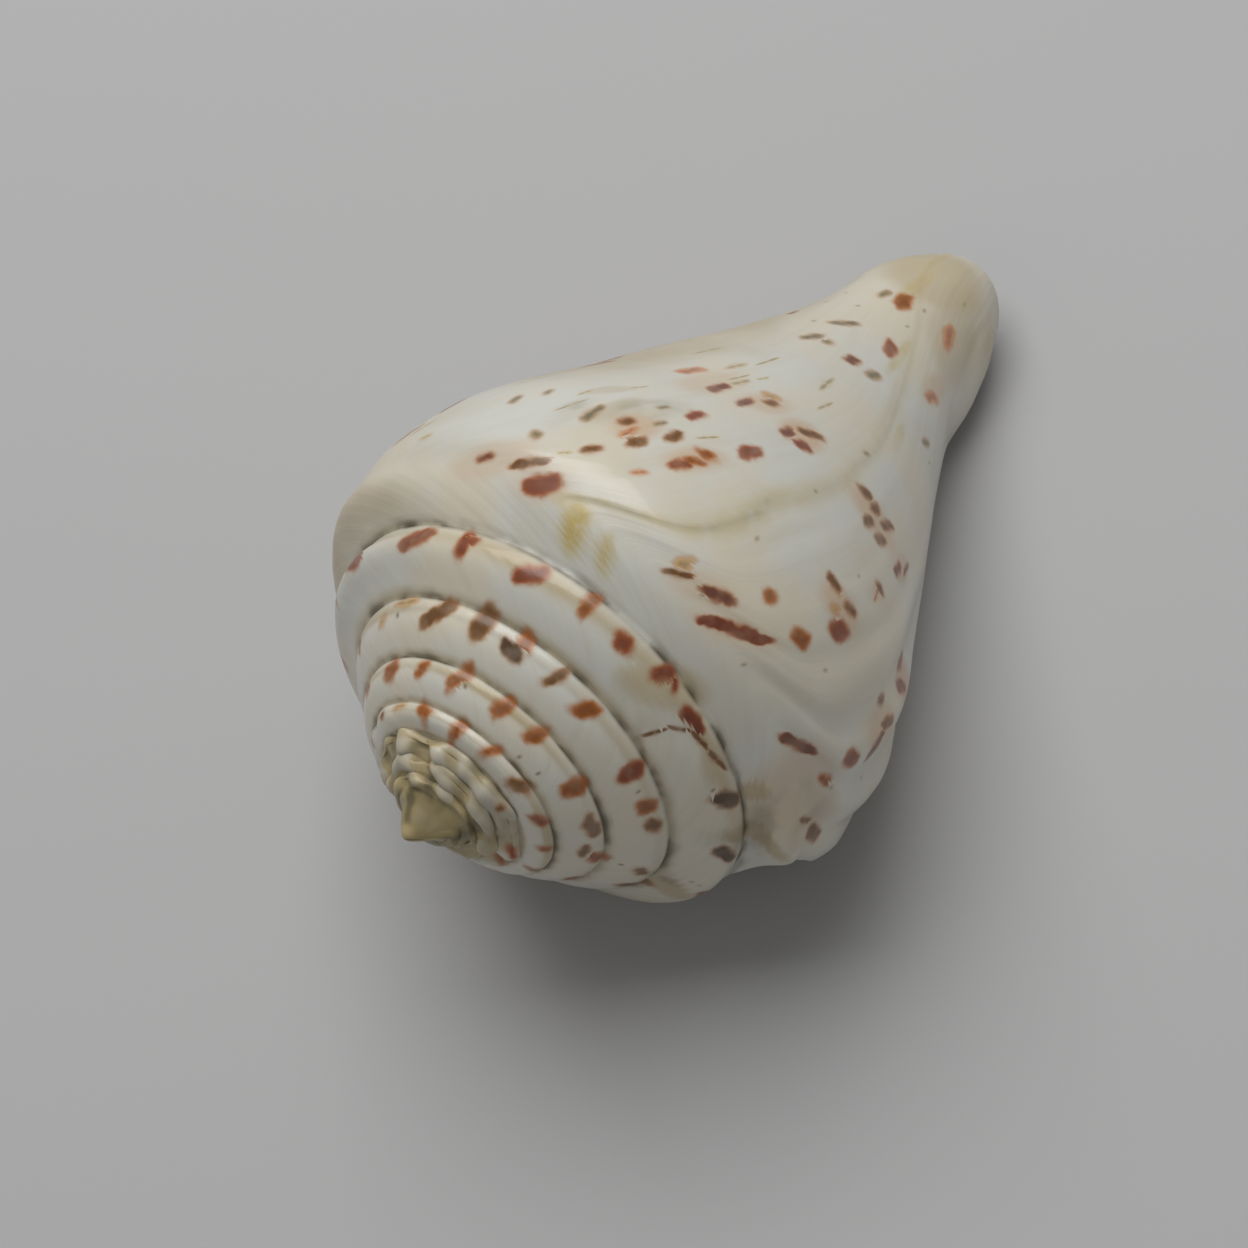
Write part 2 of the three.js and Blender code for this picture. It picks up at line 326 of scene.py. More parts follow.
def waves(x, y, pitches, reach, seed):
    """Seeded unevenness, about -1 to 1: waves of these counts per unit of x, wandering with y."""
    draw = np.random.default_rng(seed)
    total = 0
    for pitch in pitches:
        phase, sway, swing = draw.uniform(0, 2 * np.pi, 3)
        wander = 0.9 * np.sin(reach * y * draw.uniform(0.6, 1.4) + sway) + swing
        strength = 1 + 0.6 * np.sin(2.1 * x * draw.uniform(0.7, 1.6) + reach * y * 0.7 + sway)
        total = total + strength * np.sin(2 * np.pi * pitch * x + phase + wander)
    return total / len(pitches)


def early_lumps(points):
    """Seeded unevenness in space, about -1 to 1, for the shape and colour of the early whorls."""
    draw = np.random.default_rng(SEED + 3)
    total = 0
    for _ in range(LUMP_WAVES):
        direction = unit(draw.normal(size=3))
        place = points @ direction / draw.uniform(*LUMP_LENGTHS)
        total = total + np.sin(2 * np.pi * (place + draw.uniform()))
    return total / math.sqrt(LUMP_WAVES)


def scar_ahead(turn, t):
    """How far past the healed break a place is, in turns."""
    ragged = 0.0020 * np.sin(27 * t + 1.0) + 0.0008 * np.sin(67 * t)
    return turn - SCAR_TURN - ragged + 0.03 * rising(t, 0.72, 0.88)


def distance_to_crack(turn, t):
    """Millimetres to the crack on the last whorl but one."""
    scale = np.array([76.0, 30.0])  # millimetres per turn, and per share of the growth line
    place = np.stack([turn, t], -1) * scale
    nearest = np.full(np.shape(turn), 1e9)
    for a, b in zip(CRACK[:-1], CRACK[1:]):
        a, b = np.array(a) * scale, np.array(b) * scale
        share = np.clip(((place - a) @ (b - a)) / ((b - a) @ (b - a)), 0, 1)
        gap = np.linalg.norm(place - (a + share[..., None] * (b - a)), axis=-1)
        nearest = np.minimum(nearest, gap)
    return nearest


def suture_relief(turn, t, size):
    """A groove where each whorl starts, and at the edge that the next whorl leaves free."""
    on_spire = falling(turn, -TURN_BACK - 0.025, -TURN_BACK - 0.005)
    starts = SUTURE_DEPTH * size**0.5 * bump(t, 0, GROOVE_HALF_WIDTH)
    free_edges = FREE_EDGE_DEPTH * size**0.5 * bump(t, SUTURE, GROOVE_HALF_WIDTH) * on_spire
    return -starts - free_edges


def early_share(turn):
    """How strongly a place belongs to the lumpy early whorls, all but the horn."""
    return falling(turn, -5.2, -4.2) * rising(turn, -8.0, -7.2)


def spire_relief(turn, t, size):
    """On the spire the corner between ramp and rim is planed off, but for one swelling."""
    planed = (RIM_PLANING + EARLY_PLANING * early_share(turn)) * size
    swelling = RIM_SWELLING * bump(turn, *RIM_SWELLING_TURNS)
    return -(planed - swelling) * bump(t, *RIM_PLACES) * falling(turn, -1.02, -0.96)


def early_relief(turn, t, size):
    """Lumps on the early whorls, flatter beside the suture."""
    uneven = early_lumps(bare_outer(turn, t))
    beside_suture = bump(t, 0, 0.02)
    height = LUMP_HEIGHT * size**0.25 * early_share(turn)
    return height * uneven * (1 - 0.6 * beside_suture)


def growth_relief(turn, t, size):
    """Growth ripples, stronger on the newest part, folds along the lip, and slow unevenness."""
    ripples = waves(turn, t, RIPPLES_PER_TURN, 9, SEED)
    newest = rising(turn, -0.26, -0.20)
    height = RIPPLE_HEIGHT + NEWEST_RIPPLE_HEIGHT * newest * bump(t, 0.38, 0.20)
    depth = height * size * ripples
    folds = np.sin(2 * np.pi * FOLDS_PER_TURN * turn + 3 * np.sin(4 * t) + 0.6)
    depth = depth + FOLD_HEIGHT * rising(turn, -0.20, -0.12) * bump(t, 0.38, 0.16) * folds
    return depth + SLOW_HEIGHT * size * waves(turn, t, SLOW_WAVES_PER_TURN, 7, SEED + 1)


def break_relief(turn, t):
    """The healed break: a low ridge, then the newer shell starts lower and recovers."""
    ahead = scar_ahead(turn, t)
    recovering = np.where(ahead > 0, np.exp(-np.maximum(ahead, 0) / BREAK_RECOVERY), 0)
    step_in = rising(ahead, 0, 0.007) * recovering
    healed = rising(t, 0.08, 0.24) * (1 - 0.6 * rising(t, 0.45, 0.75))
    ridge = BREAK_RIDGE * bump(ahead, -0.006, 0.006) * healed
    return ridge - (0.01 + BREAK_DEPTH * healed) * step_in


def lip_relief(turn, t):
    """The notch beside the suture: a valley, and the rounded shoulder of the lip outside it."""
    by_lip = rising(turn, -0.115, -0.065)
    shoulder = LIP_SHOULDER * bump(t, 0.090, 0.040)
    return by_lip * (shoulder - LIP_VALLEY * bump(t, 0.028, 0.020))


def relief(turn, t):
    """How far the surface stands out at a place."""
    size = growth(turn)[0]
    depth = suture_relief(turn, t, size) + spire_relief(turn, t, size)
    depth = depth + early_relief(turn, t, size) + growth_relief(turn, t, size)
    depth = depth + break_relief(turn, t) + lip_relief(turn, t)
    crack = bump(distance_to_crack(turn, t), 0, CRACK_HALF_WIDTH)
    return depth - CRACK_DEPTH * crack


def outer_point(turn, t):
    """The outer surface with its relief."""
    onward, along = slopes(turn, t)
    outward = unit(np.cross(onward, along))
    return bare_outer(turn, t) + outward * relief(turn, t)[..., None]


# ---- The closed surface ----


class Surface:
    """Points and faces, with each corner's place in shell coordinates and each face's side."""

    def __init__(self):
        self.points = np.zeros((0, 3))
        self.faces = []
        self.corner_places = []
        self.face_sides = []

    def add_points(self, points):
        first = len(self.points)
        self.points = np.concatenate([self.points, points.reshape(-1, 3)])
        return first + np.arange(points[..., 0].size).reshape(points.shape[:-1])

    def add_faces(self, index, turn, t, side):
        """Faces as rows of point numbers, with the same-shaped shell coordinates."""
        index = np.asarray(index)
        place = np.stack(np.broadcast_arrays(turn, t), -1) * np.ones(index.shape)[..., None]
        for corners, corner_place in zip(index.tolist(), place.tolist()):
            kept = [k for k, c in enumerate(corners) if c != corners[k - 1]]
            if len(kept) < 3:
                continue
            self.faces.append([corners[k] for k in kept])
            self.corner_places.extend(corner_place[k] for k in kept)
            self.face_sides.append(side)

    def add_sheet(self, index, turn, t, side, wanted=None):
        """Four-sided faces between the rows and columns of a grid of point numbers."""
        def corners(grid):
            return np.stack([grid[:-1, :-1], grid[1:, :-1], grid[1:, 1:], grid[:-1, 1:]], -1)

        quads = corners(index)
        keep = (quads >= 0).all(-1)
        if wanted is not None:
            keep &= wanted[: keep.shape[0], : keep.shape[1]]
        turns, shares = np.meshgrid(turn, t, indexing="ij")
        self.add_faces(quads[keep], corners(turns)[keep], corners(shares)[keep], side)


OUTSIDE, INSIDE = 0, 1
CORNER_ROWS = 6  # on each side of the corner between the lip and the front rim
PILLAR_RINGS = (0.85, 0.65, 0.4, 0.2)  # sizes of the rings on the pillar's front end
PILLAR_HOLLOW = 0.25  # millimetres that its middle is set back


def horn_points(turn, share):
    """The first whorl: from the small blunt horn out to the suture."""
    edge = outer_point(turn, np.full_like(turn, SUTURE))
    edge_radius = np.hypot(edge[:, 0], edge[:, 1])[:, None]
    radius = through([*[p[0] for p in HORN], edge_radius], share[None, :])
    station = through([*[p[1] for p in HORN], edge[:, 2][:, None]], share[None, :])
    around = edge[:, None, :2] / edge_radius[..., None]
    return np.concatenate([around * radius[..., None], station[..., None]], -1)


def outer_grid(surface):
    """Point numbers of the outside, [column, row]; -1 where a whorl hides what is under it."""
    grid = np.full((LIP_COLUMN + 1, LAST_ROW + 1), -1)
    columns = np.arange(LIP_COLUMN + 1)
    apex = surface.add_points(np.array([[0.0, 0.0, HORN[0][1]]]))[0]

    def fill(first_column, first_row, last_row):
        wide, high = slice(first_column, None), slice(first_row, last_row + 1)
        places = np.meshgrid(turn_of(columns[wide]), STATIONS[high], indexing="ij")
        grid[wide, high] = surface.add_points(outer_point(*places))

    fill(0, 1, SUTURE_ROW)
    fill(partner(LIP_COLUMN), SUTURE_ROW + 1, POCKET_ROW - 1)
    fill(partner(DEEP_COLUMN), POCKET_ROW, LAST_ROW)
    starts = partner(columns)
    grid[:, 0] = np.where(starts >= 0, grid[np.maximum(starts, 0), SUTURE_ROW], apex)
    # The first whorl's inner rows follow the horn.
    first = np.arange(COLUMNS_PER_TURN - NOTCH_COLUMNS)
    share = np.arange(1, SUTURE_ROW) / SUTURE_ROW
    surface.points[grid[first, 1:SUTURE_ROW]] = horn_points(turn_of(first), share)
    return grid


def inner_grid(surface, outer):
    """Point numbers of the inside wall, [column, row]. Row 0 is on the whorl before."""
    columns = np.arange(DEEP_COLUMN, LIP_COLUMN + 1)
    turn, t = np.meshgrid(turn_of(columns), STATIONS[1:], indexing="ij")
    points = bare_inner(turn, np.maximum(t, INNER_START))
    start_index = outer[partner(columns), POCKET_ROW]
    starts = surface.points[start_index][:, None, :]
    share = np.minimum(t / INNER_START, 1)[..., None]
    rest = surface.add_points(starts + (points - starts) * share)
    return np.concatenate([start_index[:, None], rest], 1)


def rounded_edge(surface, outer, inner):
    """The edge of the lip, then the front rim back to the end of the hollow. Returns the points
    across the rim at its end."""
    lip_rows = np.arange(1, LAST_ROW + 1)
    rim_columns = np.arange(LIP_COLUMN - 1, DEEP_COLUMN - 1, -1)
    turn = np.concatenate([np.zeros(LAST_ROW), turn_of(rim_columns)])
    t = np.concatenate([STATIONS[lip_rows], np.ones(len(rim_columns))])
    outside = np.concatenate([outer[LIP_COLUMN, lip_rows], outer[rim_columns, LAST_ROW]])
    inside = np.concatenate([inner[-1, lip_rows], inner[rim_columns - DEEP_COLUMN, LAST_ROW]])
    onward, along = slopes(turn, t)
    place = np.arange(len(turn))
    corner = rising(place, LAST_ROW - CORNER_ROWS, LAST_ROW + CORNER_ROWS)[:, None]
    outward = unit(onward * (1 - corner) + along * corner)
    a, b = surface.points[outside], surface.points[inside]
    middle = (a + b) / 2
    reach = np.minimum(np.linalg.norm(a - middle, axis=1), LIP_EDGE / 2)[:, None]
    lines = [outside]
    for k in range(1, GAP_ROWS):
        swing = np.pi * k / GAP_ROWS
        rounded = (a - middle) * np.cos(swing) + outward * reach * np.sin(swing)
        lines.append(surface.add_points(middle + rounded))
    lines.append(inside)
    start = outer[partner(LIP_COLUMN), SUTURE_ROW : POCKET_ROW + 1]
    strip = np.concatenate([start[:, None], np.stack(lines)], 1)
    places = np.concatenate([[0], turn]), np.concatenate([[0], t])
    for k in range(GAP_ROWS):
        pair = strip[k : k + 2]
        index = np.stack([pair[0, :-1], pair[1, :-1], pair[1, 1:], pair[0, 1:]], -1)
        turns, shares = [np.stack([p[:-1], p[:-1], p[1:], p[1:]], -1) for p in places]
        surface.add_faces(index, turns, shares, INSIDE)
    return strip[:, -1]


def end_of_hollow(surface, outer, inner):
    """A web between the two walls, always advancing the shorter way."""
    left, right = inner[0], outer[partner(DEEP_COLUMN), POCKET_ROW:]
    i = j = 0
    triangles = []
    while i < len(left) - 1 or j < len(right) - 1:
        left_first = (i + 1) / len(left) <= (j + 1) / len(right)
        if j == len(right) - 1 or (i < len(left) - 1 and left_first):
            triangles.append([left[i], right[j], left[i + 1]])
            i += 1
        else:
            triangles.append([left[i], right[j], right[j + 1]])
            j += 1
    surface.add_faces([t for t in triangles if len(set(t)) == 3], turn_of(DEEP_COLUMN), 0.5, INSIDE)


def pillar_end(surface, outer, rim_end):
    """The front end of the pillar: rings drawn in to its middle, a little hollow."""
    on_rim = outer[partner(DEEP_COLUMN) : DEEP_COLUMN + 1, LAST_ROW]
    ring = np.concatenate([rim_end[-1:], on_rim, rim_end[1:-1]])
    points = surface.points[ring]
    middle = points[1 : COLUMNS_PER_TURN // 2].mean(0)
    rings = [ring]
    for share in PILLAR_RINGS:
        drawn_in = middle + (points - middle) * share
        drawn_in[:, 2] -= PILLAR_HOLLOW * math.sin(math.pi * (1 - share) / 2)
        rings.append(surface.add_points(drawn_in))
    centre = surface.add_points((middle - [0, 0, PILLAR_HOLLOW])[None])[0]
    rings.append(np.full(len(ring), centre))
    for outer_ring, inner_ring in zip(rings[:-1], rings[1:]):
        after, inner_after = np.roll(outer_ring, -1), np.roll(inner_ring, -1)
        index = np.stack([outer_ring, after, inner_after, inner_ring], -1)
        surface.add_faces(index, -1.0, 1.0, OUTSIDE)


def grow_shell():
    """The closed surface of the whole shell, in its own frame."""
    surface = Surface()
    outer = outer_grid(surface)
    inner = inner_grid(surface, outer)
    columns, rows = np.arange(LIP_COLUMN + 1), np.arange(LAST_ROW + 1)
    hidden_rows = (rows >= SUTURE_ROW) & (rows < POCKET_ROW)
    uncovered = ~((columns < partner(LIP_COLUMN))[:, None] & hidden_rows[None, :])
    surface.add_sheet(outer, turn_of(columns), STATIONS, OUTSIDE, uncovered)
    step = [[outer[0, 0], outer[0, row], outer[0, row + 1]] for row in range(1, SUTURE_ROW)]
    surface.add_faces(step, turn_of(0), 0.1, OUTSIDE)
    deep_turns = turn_of(columns[DEEP_COLUMN:])
    surface.add_sheet(inner[:, ::-1], deep_turns, STATIONS[::-1], INSIDE)
    rim_end = rounded_edge(surface, outer, inner)
    end_of_hollow(surface, outer, inner)
    pillar_end(surface, outer, rim_end)
    return surface


# ---- Marks ----

# Colours of the marks, as plain surface colours (linear red, green, blue).
ORANGE = (0.27, 0.085, 0.016)
RED = (0.23, 0.062, 0.023)
DARK_RED = (0.19, 0.046, 0.019)
BROWN = (0.17, 0.078, 0.026)
UMBER = (0.080, 0.040, 0.016)
PURPLE = (0.18, 0.064, 0.038)
PINK = (0.42, 0.19, 0.11)
TAN = (0.40, 0.27, 0.14)
GREY = (0.22, 0.18, 0.12)
FAINT = (0.40, 0.35, 0.25)

# Each mark: degrees behind the lip, percent along the growth line, half length and half width in
# millimetres, slant in degrees from the growth line, colour. One row to a whorl's rim.
RIM_MARKS = [
    # the last whorl but one
    (338, 10, 0.7, 0.3, -40, BROWN),
    (361, 9.5, 1.0, 0.5, -60, UMBER),
    (379, 11.5, 0.9, 0.6, -70, UMBER),
    (404, 12.5, 0.95, 0.40, -62, DARK_RED),
    (418.5, 14.5, 0.65, 0.5, 10, DARK_RED),
    (415, 14.8, 0.45, 0.22, -80, DARK_RED),
    (433, 11, 0.6, 0.5, -40, RED),
    (443.5, 14, 0.75, 0.38, 25, ORANGE),
    (464.5, 10.5, 1.0, 0.55, -52, RED),
    (485.5, 11.5, 0.85, 0.5, 60, RED),
    (482, 13.5, 0.6, 0.3, -40, RED),
    (504, 10.5, 1.3, 0.55, -55, RED),
    (534, 10, 1.3, 0.5, -30, RED),
    # the whorl before that
    (725, 8, 0.7, 0.4, -65, BROWN),
    (748, 10.5, 0.6, 0.5, -70, BROWN),
    (758, 9.5, 0.6, 0.6, 80, ORANGE),
    (772, 9.5, 0.8, 0.6, 70, RED),
    (796, 10, 0.8, 0.45, 90, ORANGE),
    (808, 11, 0.8, 0.35, 85, BROWN),
    (816, 15, 0.6, 0.5, 60, ORANGE),
    (827, 8.5, 0.75, 0.5, -45, UMBER),
    (833, 13.5, 0.9, 0.6, 85, BROWN),
    (854, 10.5, 1.4, 0.5, -65, BROWN),
    (864, 15, 1.0, 0.22, -35, TAN),
    (886, 8, 0.4, 0.25, -60, TAN),
    # and so on, towards the apex
    (1101, 6.5, 0.6, 0.35, -25, BROWN),
    (1112, 10, 0.95, 0.42, -35, BROWN),
    (1133, 10, 0.75, 0.6, 70, ORANGE),
    (1156, 12.5, 0.6, 0.42, 85, ORANGE),
    (1174, 11.5, 0.7, 0.45, 85, ORANGE),
    (1194, 13, 0.85, 0.42, -70, ORANGE),
    (1217, 10, 0.6, 0.35, 85, ORANGE),
    (1239, 9, 0.8, 0.5, -65, ORANGE),
    (1500, 13, 0.5, 0.45, -15, BROWN),
    (1522, 14, 0.45, 0.27, 90, ORANGE),
    (1545, 12.5, 0.55, 0.3, 90, ORANGE),
    (1566, 14, 0.5, 0.35, -15, ORANGE),
    (1586, 14, 0.6, 0.2, -40, TAN),
    (1857, 8.5, 0.3, 0.2, 35, BROWN),
]
# The crack across the last whorl but one.
CRACK_MARKS = [
    (425, 3.5, 0.80, 0.15, 63, BROWN),
    (413, 7.2, 0.85, 0.15, 104, BROWN),
    (400, 10.7, 0.85, 0.16, 142, BROWN),
    (391, 13.7, 1.00, 0.17, 44, BROWN),
]
# The body whorl behind the healed break, from the shoulder to the front.
OLDER_MARKS = [
    (102, 14.5, 1.2, 0.6, 0, RED),
    (114, 18.5, 1.25, 0.28, -10, BROWN),
    (120, 16.5, 0.6, 0.25, -12, PURPLE),
    (130, 24.5, 0.35, 0.28, 45, GREY),
    (120.5, 26, 0.55, 0.26, 10, BROWN),
    (111, 26.5, 0.5, 0.18, 10, PINK),
    (110, 30.7, 0.8, 0.34, 12, RED),
    (109.5, 32, 0.62, 0.3, 45, ORANGE),
    (110, 34, 0.6, 0.4, 30, ORANGE),
    (117, 33.7, 0.65, 0.3, -18, BROWN),
    (119, 30, 0.55, 0.38, 25, BROWN),
    (122, 30.7, 0.6, 0.22, -15, PINK),
    (125, 32, 0.45, 0.35, 0, BROWN),
    (121.5, 34.5, 0.4, 0.18, 10, GREY),
    (126.5, 38, 0.4, 0.18, 0, GREY),
    (122, 40, 0.75, 0.38, -10, RED),
    (108.5, 40, 1.0, 0.52, 5, RED),
    (131, 31, 0.9, 0.3, -20, GREY),
    (111, 48.7, 0.6, 0.32, 0, PURPLE),
    (106.6, 48.5, 0.6, 0.40, 30, DARK_RED),
    (108, 51.3, 0.95, 0.32, 38, BROWN),
    (123.5, 48.7, 0.75, 0.35, 5, PURPLE),
    (121, 51.5, 0.5, 0.3, 5, BROWN),
    (123, 52.5, 0.5, 0.3, 40, TAN),
    (131, 48.7, 0.9, 0.36, 0, PURPLE),
    (142, 50, 0.9, 0.4, 5, PINK),
    (145, 32.5, 0.35, 0.2, -40, GREY),
    (148, 30, 0.45, 0.25, -20, GREY),
    (131, 70.5, 1.0, 0.3, 50, GREY),
    (131, 66, 0.35, 0.3, 5, GREY),
    (137.5, 65.7, 0.9, 0.28, 33, GREY),
    (119, 65.5, 0.6, 0.45, 15, PURPLE),
    (109, 65.7, 0.6, 0.34, 45, GREY),
    (106, 70.7, 0.72, 0.48, 15, RED),
    (110, 79, 0.85, 0.6, -10, ORANGE),
    (124, 79, 0.5, 0.3, 30, GREY),
]
# The newer shell in front of the break.
NEWER_MARKS = [
    (96, 55.7, 0.3, 0.15, 20, GREY),
    (95, 43.3, 0.15, 0.12, 0, GREY),
    (90, 29.7, 0.15, 0.12, 0, GREY),
    (88, 51.3, 0.65, 0.38, 40, BROWN),
    (83.5, 50.9, 0.5, 0.36, 40, BROWN),
    (82.5, 48.3, 0.7, 0.36, 25, BROWN),
    (77.5, 51.3, 0.75, 0.32, 20, BROWN),
    (77, 48.5, 0.75, 0.32, 25, BROWN),
    (73.5, 79.6, 0.8, 0.42, 0, PINK),
    (74.7, 70.7, 0.8, 0.35, 50, PINK),
    (73.6, 65.7, 0.6, 0.22, 50, GREY),
    (78, 18.6, 0.5, 0.35, -10, TAN),
    (70.5, 19, 1.1, 0.36, -8, PURPLE),
    (72, 16, 0.9, 0.2, -12, BROWN),
    (58.7, 17, 2.2, 0.42, -10, DARK_RED),
    (77.8, 26, 0.45, 0.40, 0, ORANGE),
    (68, 26, 0.65, 0.5, 35, ORANGE),
    (67, 31, 0.8, 0.62, 5, RED),
    (76, 34.3, 0.65, 0.36, 65, BROWN),
    (69.5, 34.1, 0.6, 0.28, 55, BROWN),
    (71, 32, 0.3, 0.25, 10, TAN),
    (67.5, 48.8, 0.7, 0.36, 10, DARK_RED),
    (64, 51, 0.7, 0.22, 10, RED),
    (69.5, 42.3, 0.45, 0.3, 40, BROWN),
    (69, 41.0, 0.7, 0.15, -20, PINK),
    (48.5, 42.5, 0.8, 0.5, 10, RED),
    (44, 40.5, 0.8, 0.4, 20, DARK_RED),
    (47, 34, 0.5, 0.28, 10, BROWN),
    (41.5, 33.5, 0.9, 0.3, 10, BROWN),
    (39, 30.5, 1.1, 0.32, -30, PURPLE),
    (39, 26, 0.75, 0.5, 25, RED),
    (31, 16.5, 1.5, 0.32, -10, PURPLE),
    (28, 20.5, 0.6, 0.3, -10, ORANGE),
    (27, 21.5, 0.15, 0.12, 0, GREY),
    (9.5, 17.5, 1.0, 0.5, 10, BROWN),
    (11.5, 14.0, 0.7, 0.22, -15, BROWN),
]


# Rims on the hidden sides: first and last degree, degrees between marks, size of the marks.
HIDDEN_RIMS = [
    (545, 715, 18, 1.1),
    (905, 1090, 20, 0.9),
    (1257, 1485, 25, 0.62),
    (1610, 1840, 32, 0.45),
]
RIM_COLOURS = [RED, ORANGE, BROWN, ORANGE, RED]
RIM_SLANTS = [-60, -45, 75, 85]
# Columns and rows of marks on the hidden sides of the body, in degrees and percent.
HIDDEN_COLUMNS = [14, 168, 190, 211, 234, 257, 279, 301]
BODY_ROWS = [16, 26, 32, 40, 49, 51.5, 66, 71, 79]
BODY_COLOURS = [RED, BROWN, PURPLE, ORANGE, BROWN]
STREAKS = 34
SPECKS = 50
CLEAR_DEGREES = 4
CLEAR_PERCENT = 2.5


def drawn_rim_marks(draw):
    """Marks on the hidden sides of the spire's rims."""
    marks = []
    for first, last, spacing, scale in HIDDEN_RIMS:
        degrees = first + draw.uniform(0, 6)
        while degrees < last:
            size = draw.uniform(0.75, 1.15) * scale
            colour = RIM_COLOURS[draw.integers(len(RIM_COLOURS))]
            slant = draw.choice(RIM_SLANTS) + draw.uniform(-8, 8)
            marks.append((degrees, draw.uniform(9, 13.5), 0.85 * size, 0.5 * size, slant, colour))
            degrees += spacing * draw.uniform(0.75, 1.35)
    return marks


def drawn_body_marks(draw):
    """Marks on the hidden sides of the body whorl, in the same rows as on the seen side."""
    marks = []
    for column in HIDDEN_COLUMNS:
        for percent in BODY_ROWS:
            by_lip = column == HIDDEN_COLUMNS[0] and percent < 30
            if draw.uniform() < 0.25 or by_lip:
                continue
            degrees = column + draw.normal(0, 4.5)
            size = draw.uniform(0.6, 1.2) * (0.8 if percent > 60 else 1)
            colour = BODY_COLOURS[draw.integers(len(BODY_COLOURS))]
            slant = draw.normal(8, 14)
            at = percent + draw.normal(0, 0.8)
            marks.append((degrees, at, 0.95 * size, 0.42 * size, slant, colour))
            if draw.uniform() < 0.35:
                marks.append((degrees + 5, at + 2, 0.55 * size, 0.34 * size, slant, colour))
    return marks


def clear_of(marks, degrees, percent):
    """Whether a place keeps off these marks, so that a faint mark doesn't cut into one."""
    degrees_off = np.array([abs(degrees - mark[0]) for mark in marks])
    percent_off = np.array([abs(percent - mark[1]) for mark in marks])
    return bool(((degrees_off > CLEAR_DEGREES) | (percent_off > CLEAR_PERCENT)).all())


def drawn_streaks(draw, marks):
    """Faint streaks along the growth lines of the older shell."""
    streaks = []
    for _ in range(STREAKS):
        degrees, percent = draw.uniform(112, 165), draw.uniform(20, 62)
        half_length, half_width = draw.uniform(0.4, 1.3), draw.uniform(0.10, 0.20)
        slant = draw.normal(3, 3)
        if clear_of(marks, degrees, percent):
            streaks.append((degrees, percent, half_length, half_width, slant, FAINT))
    return streaks


def drawn_specks(draw, marks):
    """Tiny dark specks on the body, and half as many on the spire."""
    specks = []
    for k in range(SPECKS + SPECKS // 2):
        on_body = k < SPECKS
        degrees = draw.uniform(10, 360) if on_body else draw.uniform(360, 1400)
        percent = draw.uniform(5, 90) if on_body else draw.uniform(2, 15)
        half_width = draw.uniform(0.06, 0.11)
        if clear_of(marks, degrees, percent):
            specks.append((degrees, percent, 0.13, half_width, 20, GREY if on_body else UMBER))
    return specks


def all_marks():
    """The marks of the lists, then the seeded ones: the pattern carried on round the hidden
    sides, faint streaks and tiny specks."""
    draw = np.random.default_rng(SEED + 2)
    marks = RIM_MARKS + CRACK_MARKS + OLDER_MARKS + NEWER_MARKS
    marks = marks + drawn_rim_marks(draw) + drawn_body_marks(draw)
    marks = marks + drawn_streaks(draw, marks)
    return marks + drawn_specks(draw, marks)


